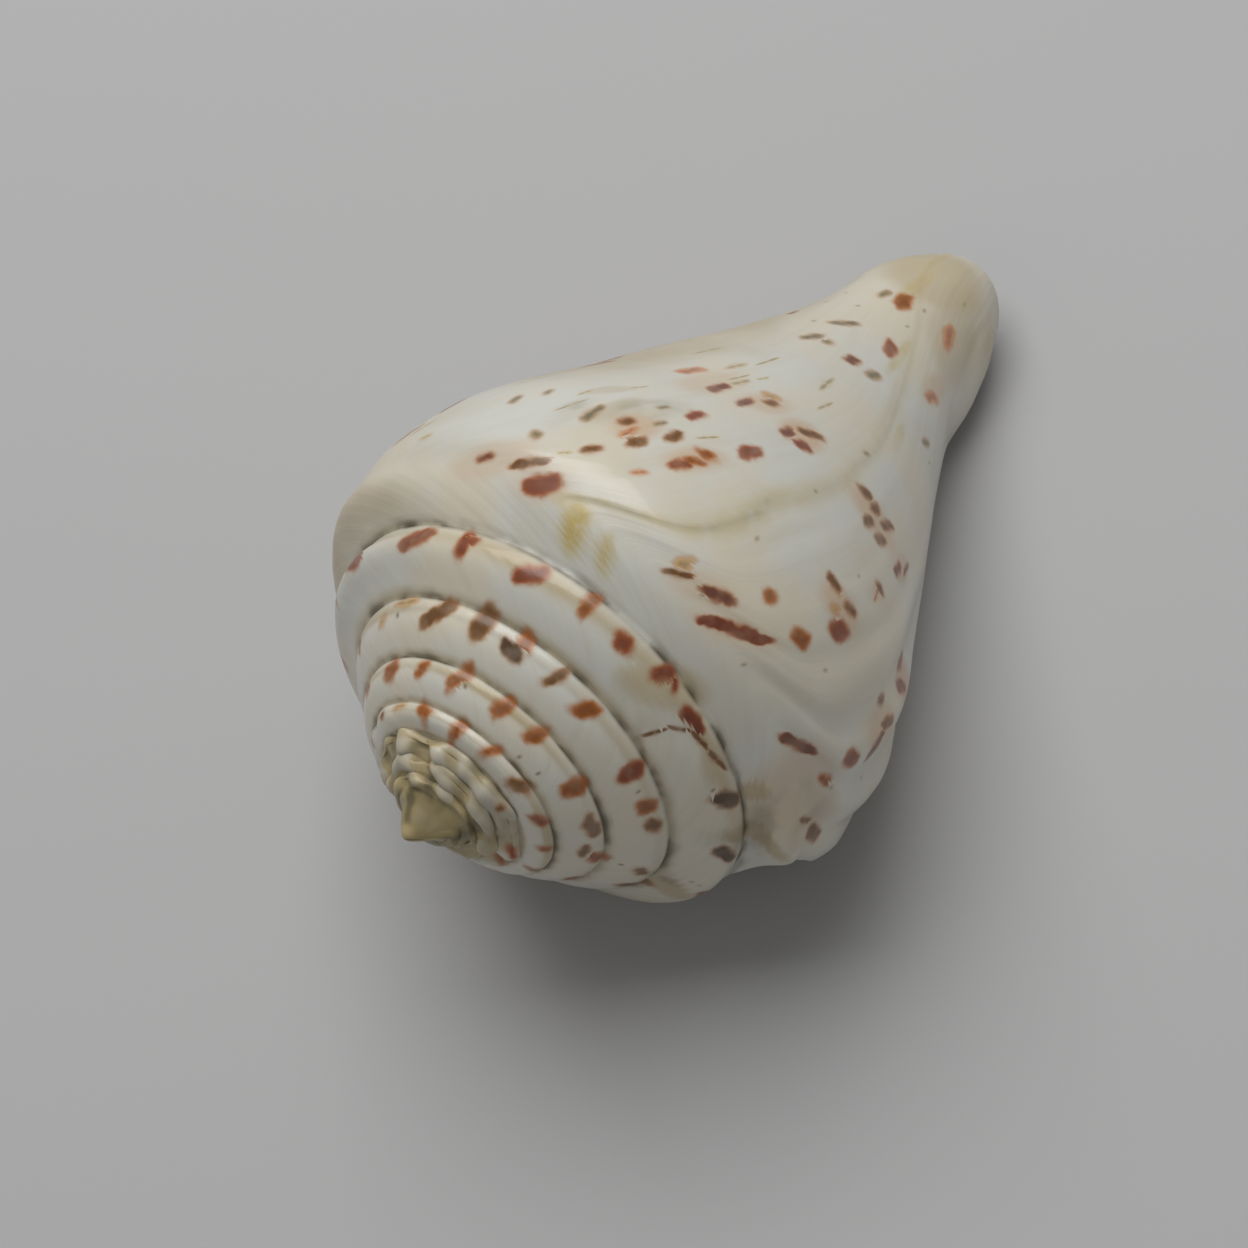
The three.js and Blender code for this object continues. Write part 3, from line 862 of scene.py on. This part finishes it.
# Soft stains: as marks, with a channel in place of the colour, and a strength.
# The last channel holds dirt, and painted shade in the grooves and hollows.
BLUSH, YELLOW, CREAM, DIRT_AND_SHADE = range(4)
STAIN_DEPTH = 3  # millimetres: a stain doesn't reach the other side of the shell
STAIN_EDGE = (0.55, 1.30)  # where it begins to fade and where it ends, as shares of its size
STAINS = [
    (118, 16.5, 3.2, 1.1, -5, BLUSH, 0.55),
    (103, 15, 2.0, 1.2, 0, BLUSH, 0.45),
    (123, 32, 1.5, 1.2, 20, BLUSH, 0.9),
    (110, 32.5, 2.0, 0.9, 15, BLUSH, 0.8),
    (121, 51, 1.8, 1.0, 20, BLUSH, 0.7),
    (109, 50.3, 1.6, 1.3, 30, BLUSH, 0.9),
    (134, 49, 2.6, 1.2, 0, BLUSH, 0.55),
    (81.5, 50, 2.6, 1.3, 72, BLUSH, 0.95),
    (66, 50, 1.4, 0.9, 20, BLUSH, 0.9),
    (71, 33, 1.9, 1.2, 62, BLUSH, 0.95),
    (69, 41.5, 1.3, 0.7, 10, BLUSH, 0.6),
    (44, 41.5, 1.8, 1.4, 20, BLUSH, 0.95),
    (42, 32.5, 1.9, 1.3, 10, BLUSH, 0.95),
    (59, 17, 2.8, 0.9, -10, BLUSH, 0.45),
    (71, 18, 2.2, 0.9, -10, BLUSH, 0.5),
    (30, 18, 2.4, 0.8, -10, BLUSH, 0.45),
    (74, 72, 1.8, 0.9, 30, BLUSH, 0.7),
    (74, 79, 1.4, 0.8, 20, BLUSH, 0.7),
    (20, 8, 4.0, 2.2, 0, BLUSH, 0.55),
    (12, 12, 3.0, 2.0, 0, BLUSH, 0.45),
    (127, 36, 3.0, 1.0, 10, DIRT_AND_SHADE, 0.25),
    (134, 30, 2.2, 0.7, -20, DIRT_AND_SHADE, 0.30),
    (130, 33, 2.6, 0.8, -8, CREAM, 0.45),
    (138, 37, 1.8, 0.6, 8, CREAM, 0.4),
    (96.5, 8.5, 1.7, 0.8, 55, YELLOW, 1.0),
    (92, 7, 1.2, 0.5, 50, YELLOW, 0.8),
    (107, 83, 2.0, 0.5, 20, YELLOW, 0.6),
    (100, 71, 2.6, 0.4, 10, YELLOW, 0.6),
    (90, 62, 1.6, 0.4, 0, YELLOW, 0.5),
    (98, 88, 3.5, 4.0, 0, CREAM, 0.6),
    (70, 80, 3.5, 3.0, 0, CREAM, 0.5),
    (417, 11, 2.8, 1.4, -65, CREAM, 0.6),
    (390, 13, 2.0, 0.9, -75, CREAM, 0.6),
    (38, 3.0, 1.0, 0.9, -75, CREAM, 0.9),
    (22, 2.0, 2.6, 0.9, -80, CREAM, 0.9),
    # These three darken the suture's side by the lip and one turn behind it: painted shade in the
    # notch's valley and along the suture.
    (20, 1.5, 3.4, 0.9, -85, DIRT_AND_SHADE, 0.3),
    (14, 6, 3.0, 1.8, 0, DIRT_AND_SHADE, 0.3),
    (366, 1.5, 1.6, 0.7, -80, DIRT_AND_SHADE, 0.4),
    (352, 4, 2.0, 1.2, -80, CREAM, 0.9),
]


def mark_frames(marks):
    """Each mark's middle, and its directions along and across, on the surface."""
    degrees, percent, _, _, slant = (np.array([m[k] for m in marks], float) for k in range(5))
    turn, t = -degrees / 360, percent / 100
    middle = outer_point(turn, t)
    onward, along = slopes(turn, t)
    outward = unit(np.cross(onward, along))
    across = unit(np.cross(outward, -along))
    across *= np.sign((across * onward).sum(-1))[:, None]
    slant = np.radians(slant)[:, None]
    major = np.cos(slant) * along + np.sin(slant) * across
    minor = -np.sin(slant) * along + np.cos(slant) * across
    return middle, major, minor, outward


def drawn_stains(points):
    """How strongly each of the stains in the list shows at each point."""
    masks = np.zeros((len(points), 4))
    middle, major, minor, outward = mark_frames(STAINS)
    for stain, c, a, b, n in zip(STAINS, middle, major, minor, outward):
        half_length, half_width, _, channel, strength = stain[2:]
        offset = points - c
        reach = np.hypot((offset @ a) / half_length, (offset @ b) / half_width)
        same_side = np.abs(offset @ n) < STAIN_DEPTH
        mask = falling(reach, *STAIN_EDGE) * same_side * strength
        masks[:, channel] = np.maximum(masks[:, channel], mask)
    return masks


def horn_share(turn):
    """1 on the horn, 0 behind it."""
    return falling(turn, -7.8, -7.2)


def apex_mask(turn, uneven):
    """Warm colour on the early whorls, weaker on top of their lumps, and on the horn."""
    knob = smooth(1.6 * uneven + 0.1)
    return falling(turn, -5.7, -4.5) * (1.0 - 0.65 * knob) + 0.5 * horn_share(turn)


def cream_mask(turn, t):
    """Cream rims on the spire, beside the suture, and on the sides of the old body whorl."""
    spire = falling(turn, -0.96, -0.86) * (t <= SUTURE + 1e-6)
    patchy = (0.65 + 0.25 * np.sin(9 * turn)) * (0.75 + 0.25 * np.sin(23 * turn + 1))
    rim = bump(t, 0.125, 0.045) * spire * patchy
    by_suture = 0.6 * bump(t, 0, 0.022) * falling(turn, -0.5, -0.3)
    shoulder = 0.7 * bump(t, 0.09, 0.09) * falling(turn, -0.46, -0.36) * (1 - spire)
    old_side = 0.75 * falling(turn, -0.50, -0.34) * rising(t, 0.25, 0.45) * (1 - spire)
    front = 0.35 * rising(t, 0.72, 0.92)
    return np.maximum.reduce([rim, by_suture, shoulder, old_side, front])


def yellow_mask(turn, t):
    """Yellow along the healed break."""
    from_shoulder = rising(t, 0.05, 0.12) * (1 - 0.4 * rising(t, 0.3, 0.6))
    return 0.5 * bump(scar_ahead(turn, t), 0.001, 0.010) * from_shoulder


def shade_and_dirt_mask(turn, t, uneven):
    """Painted shade in the sutures, in the break's step and between the early lumps, on darker
    early whorls.
    """
    ragged = np.sin(140 * turn) * np.sin(57 * turn)
    # A dark line along each suture's groove: painted shade.
    line = bump(t, 0, 0.008 + 0.004 * ragged)
    on_spire = falling(turn, -TURN_BACK - 0.006, -TURN_BACK + 0.004)
    # The same on the edge that the next whorl covers: painted shade.
    free_edge = bump(t, SUTURE, 0.0065) * on_spire
    ahead = scar_ahead(turn, t)
    # In the step of the healed break: painted shade.
    crevice = 0.25 * bump(ahead, 0.002, 0.002) * rising(t, 0.1, 0.2) * (t < 0.35)
    # Early whorls darker, and more so in the hollows between the lumps: painted shade there.
    early_tone_and_hollow_shade = falling(turn, -5.5, -4.5) * (0.36 + 0.35 * smooth(-1.5 * uneven))
    return np.maximum.reduce([line, free_edge, crevice, early_tone_and_hollow_shade + 0.16 * horn_share(turn)])


def stain_and_shade_masks(points, shell_places):
    """How strongly each stain channel shows at each point, before the material breaks it up; the
    last channel also holds painted shade.
    """
    turn, t = shell_places[:, 0], shell_places[:, 1]
    uneven = early_lumps(points)
    apex = apex_mask(turn, uneven)
    masks = drawn_stains(points)
    masks[:, CREAM] = np.maximum.reduce([masks[:, CREAM], cream_mask(turn, t), apex])
    masks[:, YELLOW] = np.maximum.reduce([masks[:, YELLOW], yellow_mask(turn, t), 0.45 * apex])
    # Dirt, with painted shade in the suture grooves, the break's step and the early hollows.
    masks[:, DIRT_AND_SHADE] = np.maximum(masks[:, DIRT_AND_SHADE], shade_and_dirt_mask(turn, t, uneven))
    return np.clip(masks, 0, 1)


# ---- From the shell's frame to the part's ----


def rest_rotation():
    """From the shell's frame to the resting pose."""
    lay = Matrix(((0, 0, 1), (0, -1, 0), (1, 0, 0)))
    roll = Matrix.Rotation(math.radians(REST_ROLL), 3, "X")
    pitch = Matrix.Rotation(math.radians(REST_PITCH), 3, "Y")
    return pitch @ roll @ lay


ROTATION = rest_rotation()


def laid_down(points):
    """Points in metres in the part's frame, and the shift that brought them there."""
    turned = points @ np.array(ROTATION).T * MM
    low, high = (np.array(corner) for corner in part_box("shell"))
    middle = (turned.min(0) + turned.max(0)) / 2
    shift = (low + high) / 2 - middle
    shift[2] = low[2] - turned[:, 2].min()
    return turned + shift, shift


MARK_REACH = 9  # millimetres from its middle at which a mark no longer counts
INSIDE_FAR = 100  # millimetres added on the inside, so that no mark shows there
NUMBERS = 17  # the marks are numbered in rounds of this many, to lean differently


def nearest_marks(centres, marks, frames):
    """For each face, the number of the mark that it is nearest to."""
    middle, major, minor, outward = frames
    nearest = np.zeros(len(centres), int)
    best = np.full(len(centres), 1e9)
    for k, (half_length, half_width) in enumerate(mark[2:4] for mark in marks):
        offset = centres - middle[k]
        near = np.flatnonzero((np.abs(offset) < MARK_REACH).all(-1))
        along, across = offset[near] @ major[k], offset[near] @ minor[k]
        height = offset[near] @ outward[k]
        past_end = np.maximum(np.abs(along) - half_length, 0)
        past_side = np.maximum(np.abs(across) - half_width, 0)
        over = np.hypot(past_end, past_side)
        # Where marks overlap, the one whose middle is nearest wins.
        inside = np.minimum(np.hypot(along / half_length, across / half_width) - 1, 0) * 0.1
        distance = np.hypot(over, height) + inside
        closer = distance < best[near]
        best[near[closer]] = distance[closer]
        nearest[near[closer]] = k
    return nearest


def add_object(name, data):
    result = bpy.data.objects.new(name, data)
    bpy.context.scene.collection.objects.link(result)
    return result


def set_attribute(mesh, name, kind, values):
    """Stores a value for each corner of each face, for the material to read."""
    attribute = mesh.attributes.new(name, kind, "CORNER")
    field = "color" if kind == "FLOAT_COLOR" else "vector"
    attribute.data.foreach_set(field, np.asarray(values, np.float32).ravel())


def paint_marks(mesh, at, face_of_corner, inside):
    """Gives each face's corners their place in the nearest mark's frame, its size and colour."""
    marks = all_marks()
    frames = mark_frames(marks)
    counts = np.bincount(face_of_corner)
    centres = np.stack([np.bincount(face_of_corner, at[:, k]) / counts for k in range(3)], -1)
    nearest = nearest_marks(centres, marks, frames)[face_of_corner]
    middle, major, minor, _ = frames
    offset = at - middle[nearest]
    along = (offset * major[nearest]).sum(-1)
    across = (offset * minor[nearest]).sum(-1)
    far = np.linalg.norm(offset, axis=-1) + INSIDE_FAR * inside
    places = np.stack([along, across, far], -1)
    set_attribute(mesh, "mark_place", "FLOAT_VECTOR", places)
    sizes = np.array([(m[2], m[3], k % NUMBERS) for k, m in enumerate(marks)])
    set_attribute(mesh, "mark_size", "FLOAT_VECTOR", sizes[nearest])
    colours = np.array([(*m[5], 1) for m in marks])
    set_attribute(mesh, "mark_colour", "FLOAT_COLOR", colours[nearest])


def shell_object():
    """The shell in the scene, and the shift from its own frame after it is turned."""
    surface = grow_shell()
    counts = [len(face) for face in surface.faces]
    face_of_corner = np.repeat(np.arange(len(counts)), counts)
    corner_points = np.concatenate(surface.faces)
    used = np.unique(corner_points)
    renumber = np.full(len(surface.points), -1)
    renumber[used] = np.arange(len(used))
    points, shift = laid_down(surface.points[used])
    mesh = bpy.data.meshes.new("shell_surface")
    faces = [[int(renumber[corner]) for corner in face] for face in surface.faces]
    mesh.from_pydata(points.tolist(), [], faces)
    mesh.shade_smooth()
    at, corner_places = surface.points[corner_points], np.array(surface.corner_places)
    inside = np.array(surface.face_sides)[face_of_corner] == INSIDE
    places = np.concatenate([corner_places, inside[:, None]], -1)
    set_attribute(mesh, "shell_place", "FLOAT_VECTOR", places)
    # The last stain channel holds dirt and painted shade in the grooves and hollows.
    masks = stain_and_shade_masks(at, corner_places)
    masks[inside] = 0
    set_attribute(mesh, "stains", "FLOAT_COLOR", masks)
    paint_marks(mesh, at, face_of_corner, inside)
    return add_object("shell_surface", mesh), shift


# ---- Camera ----

VIEW_TILT = 32.5  # degrees that the view leans from square on towards the apex
VIEW_ROLL = 45.5  # degrees that the shell's axis climbs in the picture
VIEW_DISTANCE = 199.6
VIEW_LENS = 98.08
SIGHT_POINT = (0.74, 0.0, 27.58)  # in the shell's frame
SIGHT_OFFSET = (-4.0, -4.6)  # from there to the middle of the picture, right and up


def view_axes():
    """The picture's right, up and towards-the-viewer directions, in the part's frame."""
    tilt, roll = math.radians(VIEW_TILT), math.radians(VIEW_ROLL)
    axis = Vector((math.sin(tilt), 0, math.cos(tilt)))
    aside = Vector((0, 1, 0))
    right = math.cos(roll) * axis + math.sin(roll) * aside
    up = math.sin(roll) * axis - math.cos(roll) * aside
    toward = Vector((math.cos(tilt), 0, -math.sin(tilt)))
    return [ROTATION @ v for v in (right, up, toward)]


def add_camera(shift):
    """The photo's view."""
    right, up, toward = view_axes()
    sight = ROTATION @ Vector(SIGHT_POINT) * MM + Vector(shift)
    position = sight + toward * VIEW_DISTANCE * MM
    aim = sight + (right * SIGHT_OFFSET[0] + up * SIGHT_OFFSET[1]) * MM
    data = bpy.data.cameras.new("camera")
    data.lens = VIEW_LENS
    data.sensor_width = 36
    data.clip_start = 0.01
    camera = add_object("camera", data)
    back = (position - aim).normalized()
    side = up.cross(back).normalized()
    turned = Matrix((side, back.cross(side), back)).transposed().to_4x4()
    camera.matrix_world = Matrix.Translation(position) @ turned
    bpy.context.scene.camera = camera


piece, shift = shell_object()
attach(piece, "root")
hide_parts("shell")
add_camera(shift)

# ---- Material ----


class Nodes:
    """Short ways to add and join shader nodes."""

    def __init__(self, material):
        material.use_nodes = True
        self.tree = material.node_tree
        self.shader = self.tree.nodes["Principled BSDF"]

    def add(self, kind, **settings):
        node = self.tree.nodes.new(kind)
        for name, value in settings.items():
            setattr(node, name, value)
        return node

    def feed(self, socket, value):
        if isinstance(value, bpy.types.NodeSocket):
            self.tree.links.new(value, socket)
        else:
            socket.default_value = value

    def attribute(self, name, output="Vector"):
        return self.add("ShaderNodeAttribute", attribute_name=name).outputs[output]

    def maths(self, operation, a, b=0.0, c=0.0):
        node = self.add("ShaderNodeMath", operation=operation)
        for socket, value in zip(node.inputs, (a, b, c)):
            self.feed(socket, value)
        return node.outputs[0]

    def times(self, a, b):
        return self.maths("MULTIPLY", a, b)

    def vectors(self, operation, a, b=(0, 0, 0)):
        node = self.add("ShaderNodeVectorMath", operation=operation)
        self.feed(node.inputs[0], a)
        self.feed(node.inputs[1], b)
        return node.outputs["Value" if operation == "LENGTH" else "Vector"]

    def parts(self, vector):
        node = self.add("ShaderNodeSeparateXYZ")
        self.feed(node.inputs[0], vector)
        return node.outputs

    def together(self, x, y, z=0.0):
        node = self.add("ShaderNodeCombineXYZ")
        for socket, value in zip(node.inputs, (x, y, z)):
            self.feed(socket, value)
        return node.outputs[0]

    def noise(self, vector, scale, detail=2.0, roughness=0.5, output=0):
        """Output 0 is one number, output 1 a vector."""
        node = self.add("ShaderNodeTexNoise")
        self.feed(node.inputs["Vector"], vector)
        self.feed(node.inputs["Scale"], scale)
        self.feed(node.inputs["Detail"], detail)
        self.feed(node.inputs["Roughness"], roughness)
        return node.outputs[output]

    def fade(self, value, low, high, to_low=0.0, to_high=1.0):
        """Smooth change from to_low to to_high as value goes from low to high."""
        node = self.add("ShaderNodeMapRange", interpolation_type="SMOOTHSTEP")
        for socket, number in zip(node.inputs, (value, low, high, to_low, to_high)):
            self.feed(socket, number)
        return node.outputs[0]

    def mix(self, share, a, b, blend="MIX"):
        node = self.add("ShaderNodeMix", data_type="RGBA", blend_type=blend)
        self.feed(node.inputs["Factor"], share)
        self.feed(node.inputs["A"], (*a, 1) if isinstance(a, tuple) else a)
        self.feed(node.inputs["B"], (*b, 1) if isinstance(b, tuple) else b)
        return node.outputs["Result"]


GROUND = (0.71, 0.65, 0.52)
COOL_GROUND = (0.69, 0.69, 0.63)
CREAM_GROUND = (0.54, 0.45, 0.29)
STREAK = (0.62, 0.56, 0.43)
YELLOW_STAIN = (0.56, 0.43, 0.14)
BLUSH_STAIN = (0.62, 0.41, 0.24)
# Dark brown for the dirt and for the painted shade in the grooves and hollows.
DIRT_AND_SHADE_COLOUR = (0.09, 0.07, 0.035)
INSIDE_GROUND = (0.78, 0.73, 0.66)
# Scales of the noises, larger for finer ones.
PATCHES = 75.0
CLOUDS = 140.0
SHEEN = 300.0
DIRT_AND_SHADE_BREAKUP = 420.0
MOTTLE = 800.0
SPECKLE = 900.0
WOBBLE = 1100.0
GRAIN = 2500.0
STREAKS_PER_TURN = 60.0
FINE_LINES_PER_TURN = 190.0
CHANGES_ALONG = 5.0  # how often such a line changes from end to end
BUMP_STRENGTH = 0.5
BUMP_DISTANCE = 0.00003  # metres
EDGE_TINT = (1.60, 1.50, 1.15)
HALO_TINT = (0.72, 0.36, 0.16)


def growth_line_noise(nodes, place, lines_per_turn):
    """Noise drawn out along the growth lines."""
    x, y, _ = nodes.parts(place)
    around = nodes.times(x, lines_per_turn)
    along = nodes.times(y, CHANGES_ALONG)
    drawn_out = nodes.together(around, along)
    return nodes.noise(drawn_out, 1.0, 3.0, 0.6)


def ground_colour(nodes, place, object_place, stains, dirt_and_shade):
    """Off-white porcelain with streaks along the growth lines, and the stains, dirt and painted
    shade on it.
    """
    blush, yellow, cream = nodes.parts(stains)
    streaks = growth_line_noise(nodes, place, STREAKS_PER_TURN)
    clouds = nodes.noise(object_place, CLOUDS, 3.0)
    patches = nodes.noise(object_place, PATCHES, 4.0, 0.6)
    specks = nodes.noise(object_place, SPECKLE, 3.0, 0.6)
    colour = nodes.mix(nodes.fade(clouds, 0.35, 0.65), GROUND, COOL_GROUND)
    colour = nodes.mix(nodes.fade(patches, 0.48, 0.72, 0.0, 0.5), colour, STREAK)
    colour = nodes.mix(nodes.fade(streaks, 0.48, 0.75, 0.0, 0.36), colour, STREAK)
    # Cream, stronger where the clouds are thick.
    thick = nodes.times(nodes.maths("SUBTRACT", clouds, 0.5), 0.9)
    cream_cover = nodes.fade(nodes.maths("ADD", cream, thick), 0.1, 0.8)
    cream_cover = nodes.times(cream_cover, nodes.fade(cream, 0.0, 0.25))
    colour = nodes.mix(cream_cover, colour, CREAM_GROUND)
    # Yellow, a little broken, then the soft reddish blush, and the dirt with the painted shade.
    broken = nodes.fade(nodes.maths("ADD", clouds, specks), 0.75, 1.15, 0.45, 1.0)
    colour = nodes.mix(nodes.times(yellow, broken), colour, YELLOW_STAIN)
    cloudy = nodes.fade(clouds, 0.3, 0.7, 0.5, 0.9)
    colour = nodes.mix(nodes.times(blush, cloudy), colour, BLUSH_STAIN)
    patchy = nodes.fade(nodes.noise(object_place, DIRT_AND_SHADE_BREAKUP), 0.38, 0.62, 0.30, 1.0)
    return nodes.mix(nodes.times(dirt_and_shade, patchy), colour, DIRT_AND_SHADE_COLOUR)


MARK_SQUARENESS = 2.7  # 2 would make ellipses
FAR = (40.0, 60.0)  # millimetres from its mark at which a place no longer shows it


def wandering_place(nodes, object_place, width, number):
    """Place in the mark's frame, made uneven, and leaning differently from mark to mark."""
    along, across, far = nodes.parts(nodes.attribute("mark_place"))
    wobble = nodes.noise(object_place, WOBBLE, output=1)
    wobble_x, wobble_y, _ = nodes.parts(nodes.vectors("SUBTRACT", wobble, (0.5, 0.5, 0.5)))
    sway = nodes.fade(width, 0.05, 0.40, 0.08, 0.6)
    lean = nodes.maths("FRACT", nodes.times(number, 0.37))
    lean = nodes.maths("SUBTRACT", lean, 0.5)
    x = nodes.maths("MULTIPLY_ADD", wobble_x, sway, along)
    x = nodes.maths("MULTIPLY_ADD", across, lean, x)
    y = nodes.maths("MULTIPLY_ADD", wobble_y, sway, across)
    return x, y, far


def beyond_edge(nodes, x, y, length, width):
    """Millimetres beyond the rounded edge of a mark, negative inside it."""
    shares = []
    for value, half in ((x, length), (y, width)):
        share = nodes.maths("DIVIDE", nodes.maths("ABSOLUTE", value), half)
        shares.append(nodes.maths("POWER", share, MARK_SQUARENESS))
    reach = nodes.maths("POWER", nodes.maths("ADD", *shares), 1 / MARK_SQUARENESS)
    radius = nodes.vectors("LENGTH", nodes.together(x, y))
    edge = nodes.maths("DIVIDE", radius, nodes.maths("MAXIMUM", reach, 0.02))
    return nodes.maths("SUBTRACT", radius, edge)


def mark_masks(nodes, object_place):
    """How strongly the nearest mark covers a place, its core, and its soft halo."""
    length, width, number = nodes.parts(nodes.attribute("mark_size"))
    x, y, far = wandering_place(nodes, object_place, width, number)
    beyond = beyond_edge(nodes, x, y, length, width)
    near = nodes.fade(far, *FAR, 1.0, 0.0)
    cover = nodes.times(nodes.fade(beyond, -0.20, 0.16, 1.0, 0.0), near)
    core = nodes.fade(beyond, -0.42, -0.02, 1.0, 0.0)
    halo = nodes.times(nodes.fade(beyond, -0.05, 0.34, 1.0, 0.0), near)
    wide = nodes.fade(width, 0.12, 0.25)
    return cover, core, nodes.times(halo, wide)


def marked_colour(nodes, object_place, ground):
    """The ground with the marks on it: a soft warm halo, a lighter edge and a mottled core."""
    cover, core, halo = mark_masks(nodes, object_place)
    halo_colour = nodes.mix(0.65, ground, HALO_TINT, "MULTIPLY")
    colour = nodes.mix(nodes.times(halo, 0.75), ground, halo_colour)
    mark_colour = nodes.attribute("mark_colour", "Color")
    edge_colour = nodes.mix(1.0, mark_colour, EDGE_TINT, "MULTIPLY")
    mark_colour = nodes.mix(core, edge_colour, mark_colour)
    mottle = nodes.fade(nodes.noise(object_place, MOTTLE), 0.3, 0.6, 0.78, 1.0)
    return nodes.mix(nodes.times(cover, mottle), colour, mark_colour)


def fine_relief(nodes, place, object_place):
    """Very fine growth lines and grain, too small for the mesh."""
    fine_lines = growth_line_noise(nodes, place, FINE_LINES_PER_TURN)
    grain = nodes.noise(object_place, GRAIN)
    node = nodes.add("ShaderNodeBump")
    node.inputs["Strength"].default_value = BUMP_STRENGTH
    node.inputs["Distance"].default_value = BUMP_DISTANCE
    nodes.feed(node.inputs["Height"], nodes.maths("MULTIPLY_ADD", grain, 0.25, fine_lines))
    return node.outputs[0]


def porcelain():
    """The shell's material."""
    material = bpy.data.materials.new("spotted_porcelain")
    nodes = Nodes(material)
    shader = nodes.shader
    place = nodes.attribute("shell_place")
    object_place = nodes.add("ShaderNodeTexCoord").outputs["Object"]
    # The stains' alpha: dirt, and painted shade in the grooves and hollows.
    dirt_and_shade = nodes.attribute("stains", "Alpha")
    ground = ground_colour(nodes, place, object_place, nodes.attribute("stains", "Color"), dirt_and_shade)
    colour = marked_colour(nodes, object_place, ground)
    inside = nodes.parts(place)[2]
    nodes.feed(shader.inputs["Base Color"], nodes.mix(inside, colour, INSIDE_GROUND))
    uneven = nodes.noise(object_place, SHEEN, 3.0)
    roughness = nodes.fade(uneven, 0.3, 0.7, 0.30, 0.42)
    roughness = nodes.maths("MULTIPLY_ADD", dirt_and_shade, 0.3, roughness)
    nodes.feed(shader.inputs["Roughness"], roughness)
    shader.inputs["Coat Weight"].default_value = 0.25
    shader.inputs["Coat Roughness"].default_value = 0.08
    nodes.feed(shader.inputs["Normal"], fine_relief(nodes, place, object_place))
    return material


piece.data.materials.append(porcelain())


# ---- Floor and light ----

LIGHT_CENTRE = Vector((0, 0, 0.015))  # what the light is aimed at, in metres
KEY_OFFSET = (-0.10, 0.32, 0.28)  # right, up and towards the viewer, in metres
KEY_SIZE = 0.36
KEY_POWER = 1.5
SKY_STRENGTH = 0.21
FLOOR_GREY = 0.52
FLOOR_HALF_SIZE = 2  # metres


def add_floor():
    mesh = bpy.data.meshes.new("floor")
    s = FLOOR_HALF_SIZE
    mesh.from_pydata([(-s, -s, 0), (s, -s, 0), (s, s, 0), (-s, s, 0)], [], [[0, 1, 2, 3]])
    material = bpy.data.materials.new("pale_floor")
    material.use_nodes = True
    shader = material.node_tree.nodes["Principled BSDF"]
    shader.inputs["Base Color"].default_value = (FLOOR_GREY, FLOOR_GREY, FLOOR_GREY, 1)
    shader.inputs["Roughness"].default_value = 0.9
    mesh.materials.append(material)
    add_object("floor", mesh)


def add_soft_light(name, offset, size, power):
    """A square soft light: its offset is right, up and towards the viewer, in metres."""
    data = bpy.data.lights.new(name, "AREA")
    data.shape = "SQUARE"
    data.size = size
    data.energy = power
    light = add_object(name, data)
    right, up, toward = view_axes()
    light.location = LIGHT_CENTRE + right * offset[0] + up * offset[1] + toward * offset[2]
    light.rotation_euler = (LIGHT_CENTRE - light.location).to_track_quat("-Z", "Y").to_euler()


def add_sky(strength):
    world = bpy.data.worlds.new("soft_sky")
    world.use_nodes = True
    background = world.node_tree.nodes["Background"]
    background.inputs["Color"].default_value = (1, 1, 1, 1)
    background.inputs["Strength"].default_value = strength
    bpy.context.scene.world = world


add_floor()
add_soft_light("key", KEY_OFFSET, KEY_SIZE, KEY_POWER)
add_sky(SKY_STRENGTH)
bpy.context.scene.view_settings.view_transform = "Standard"
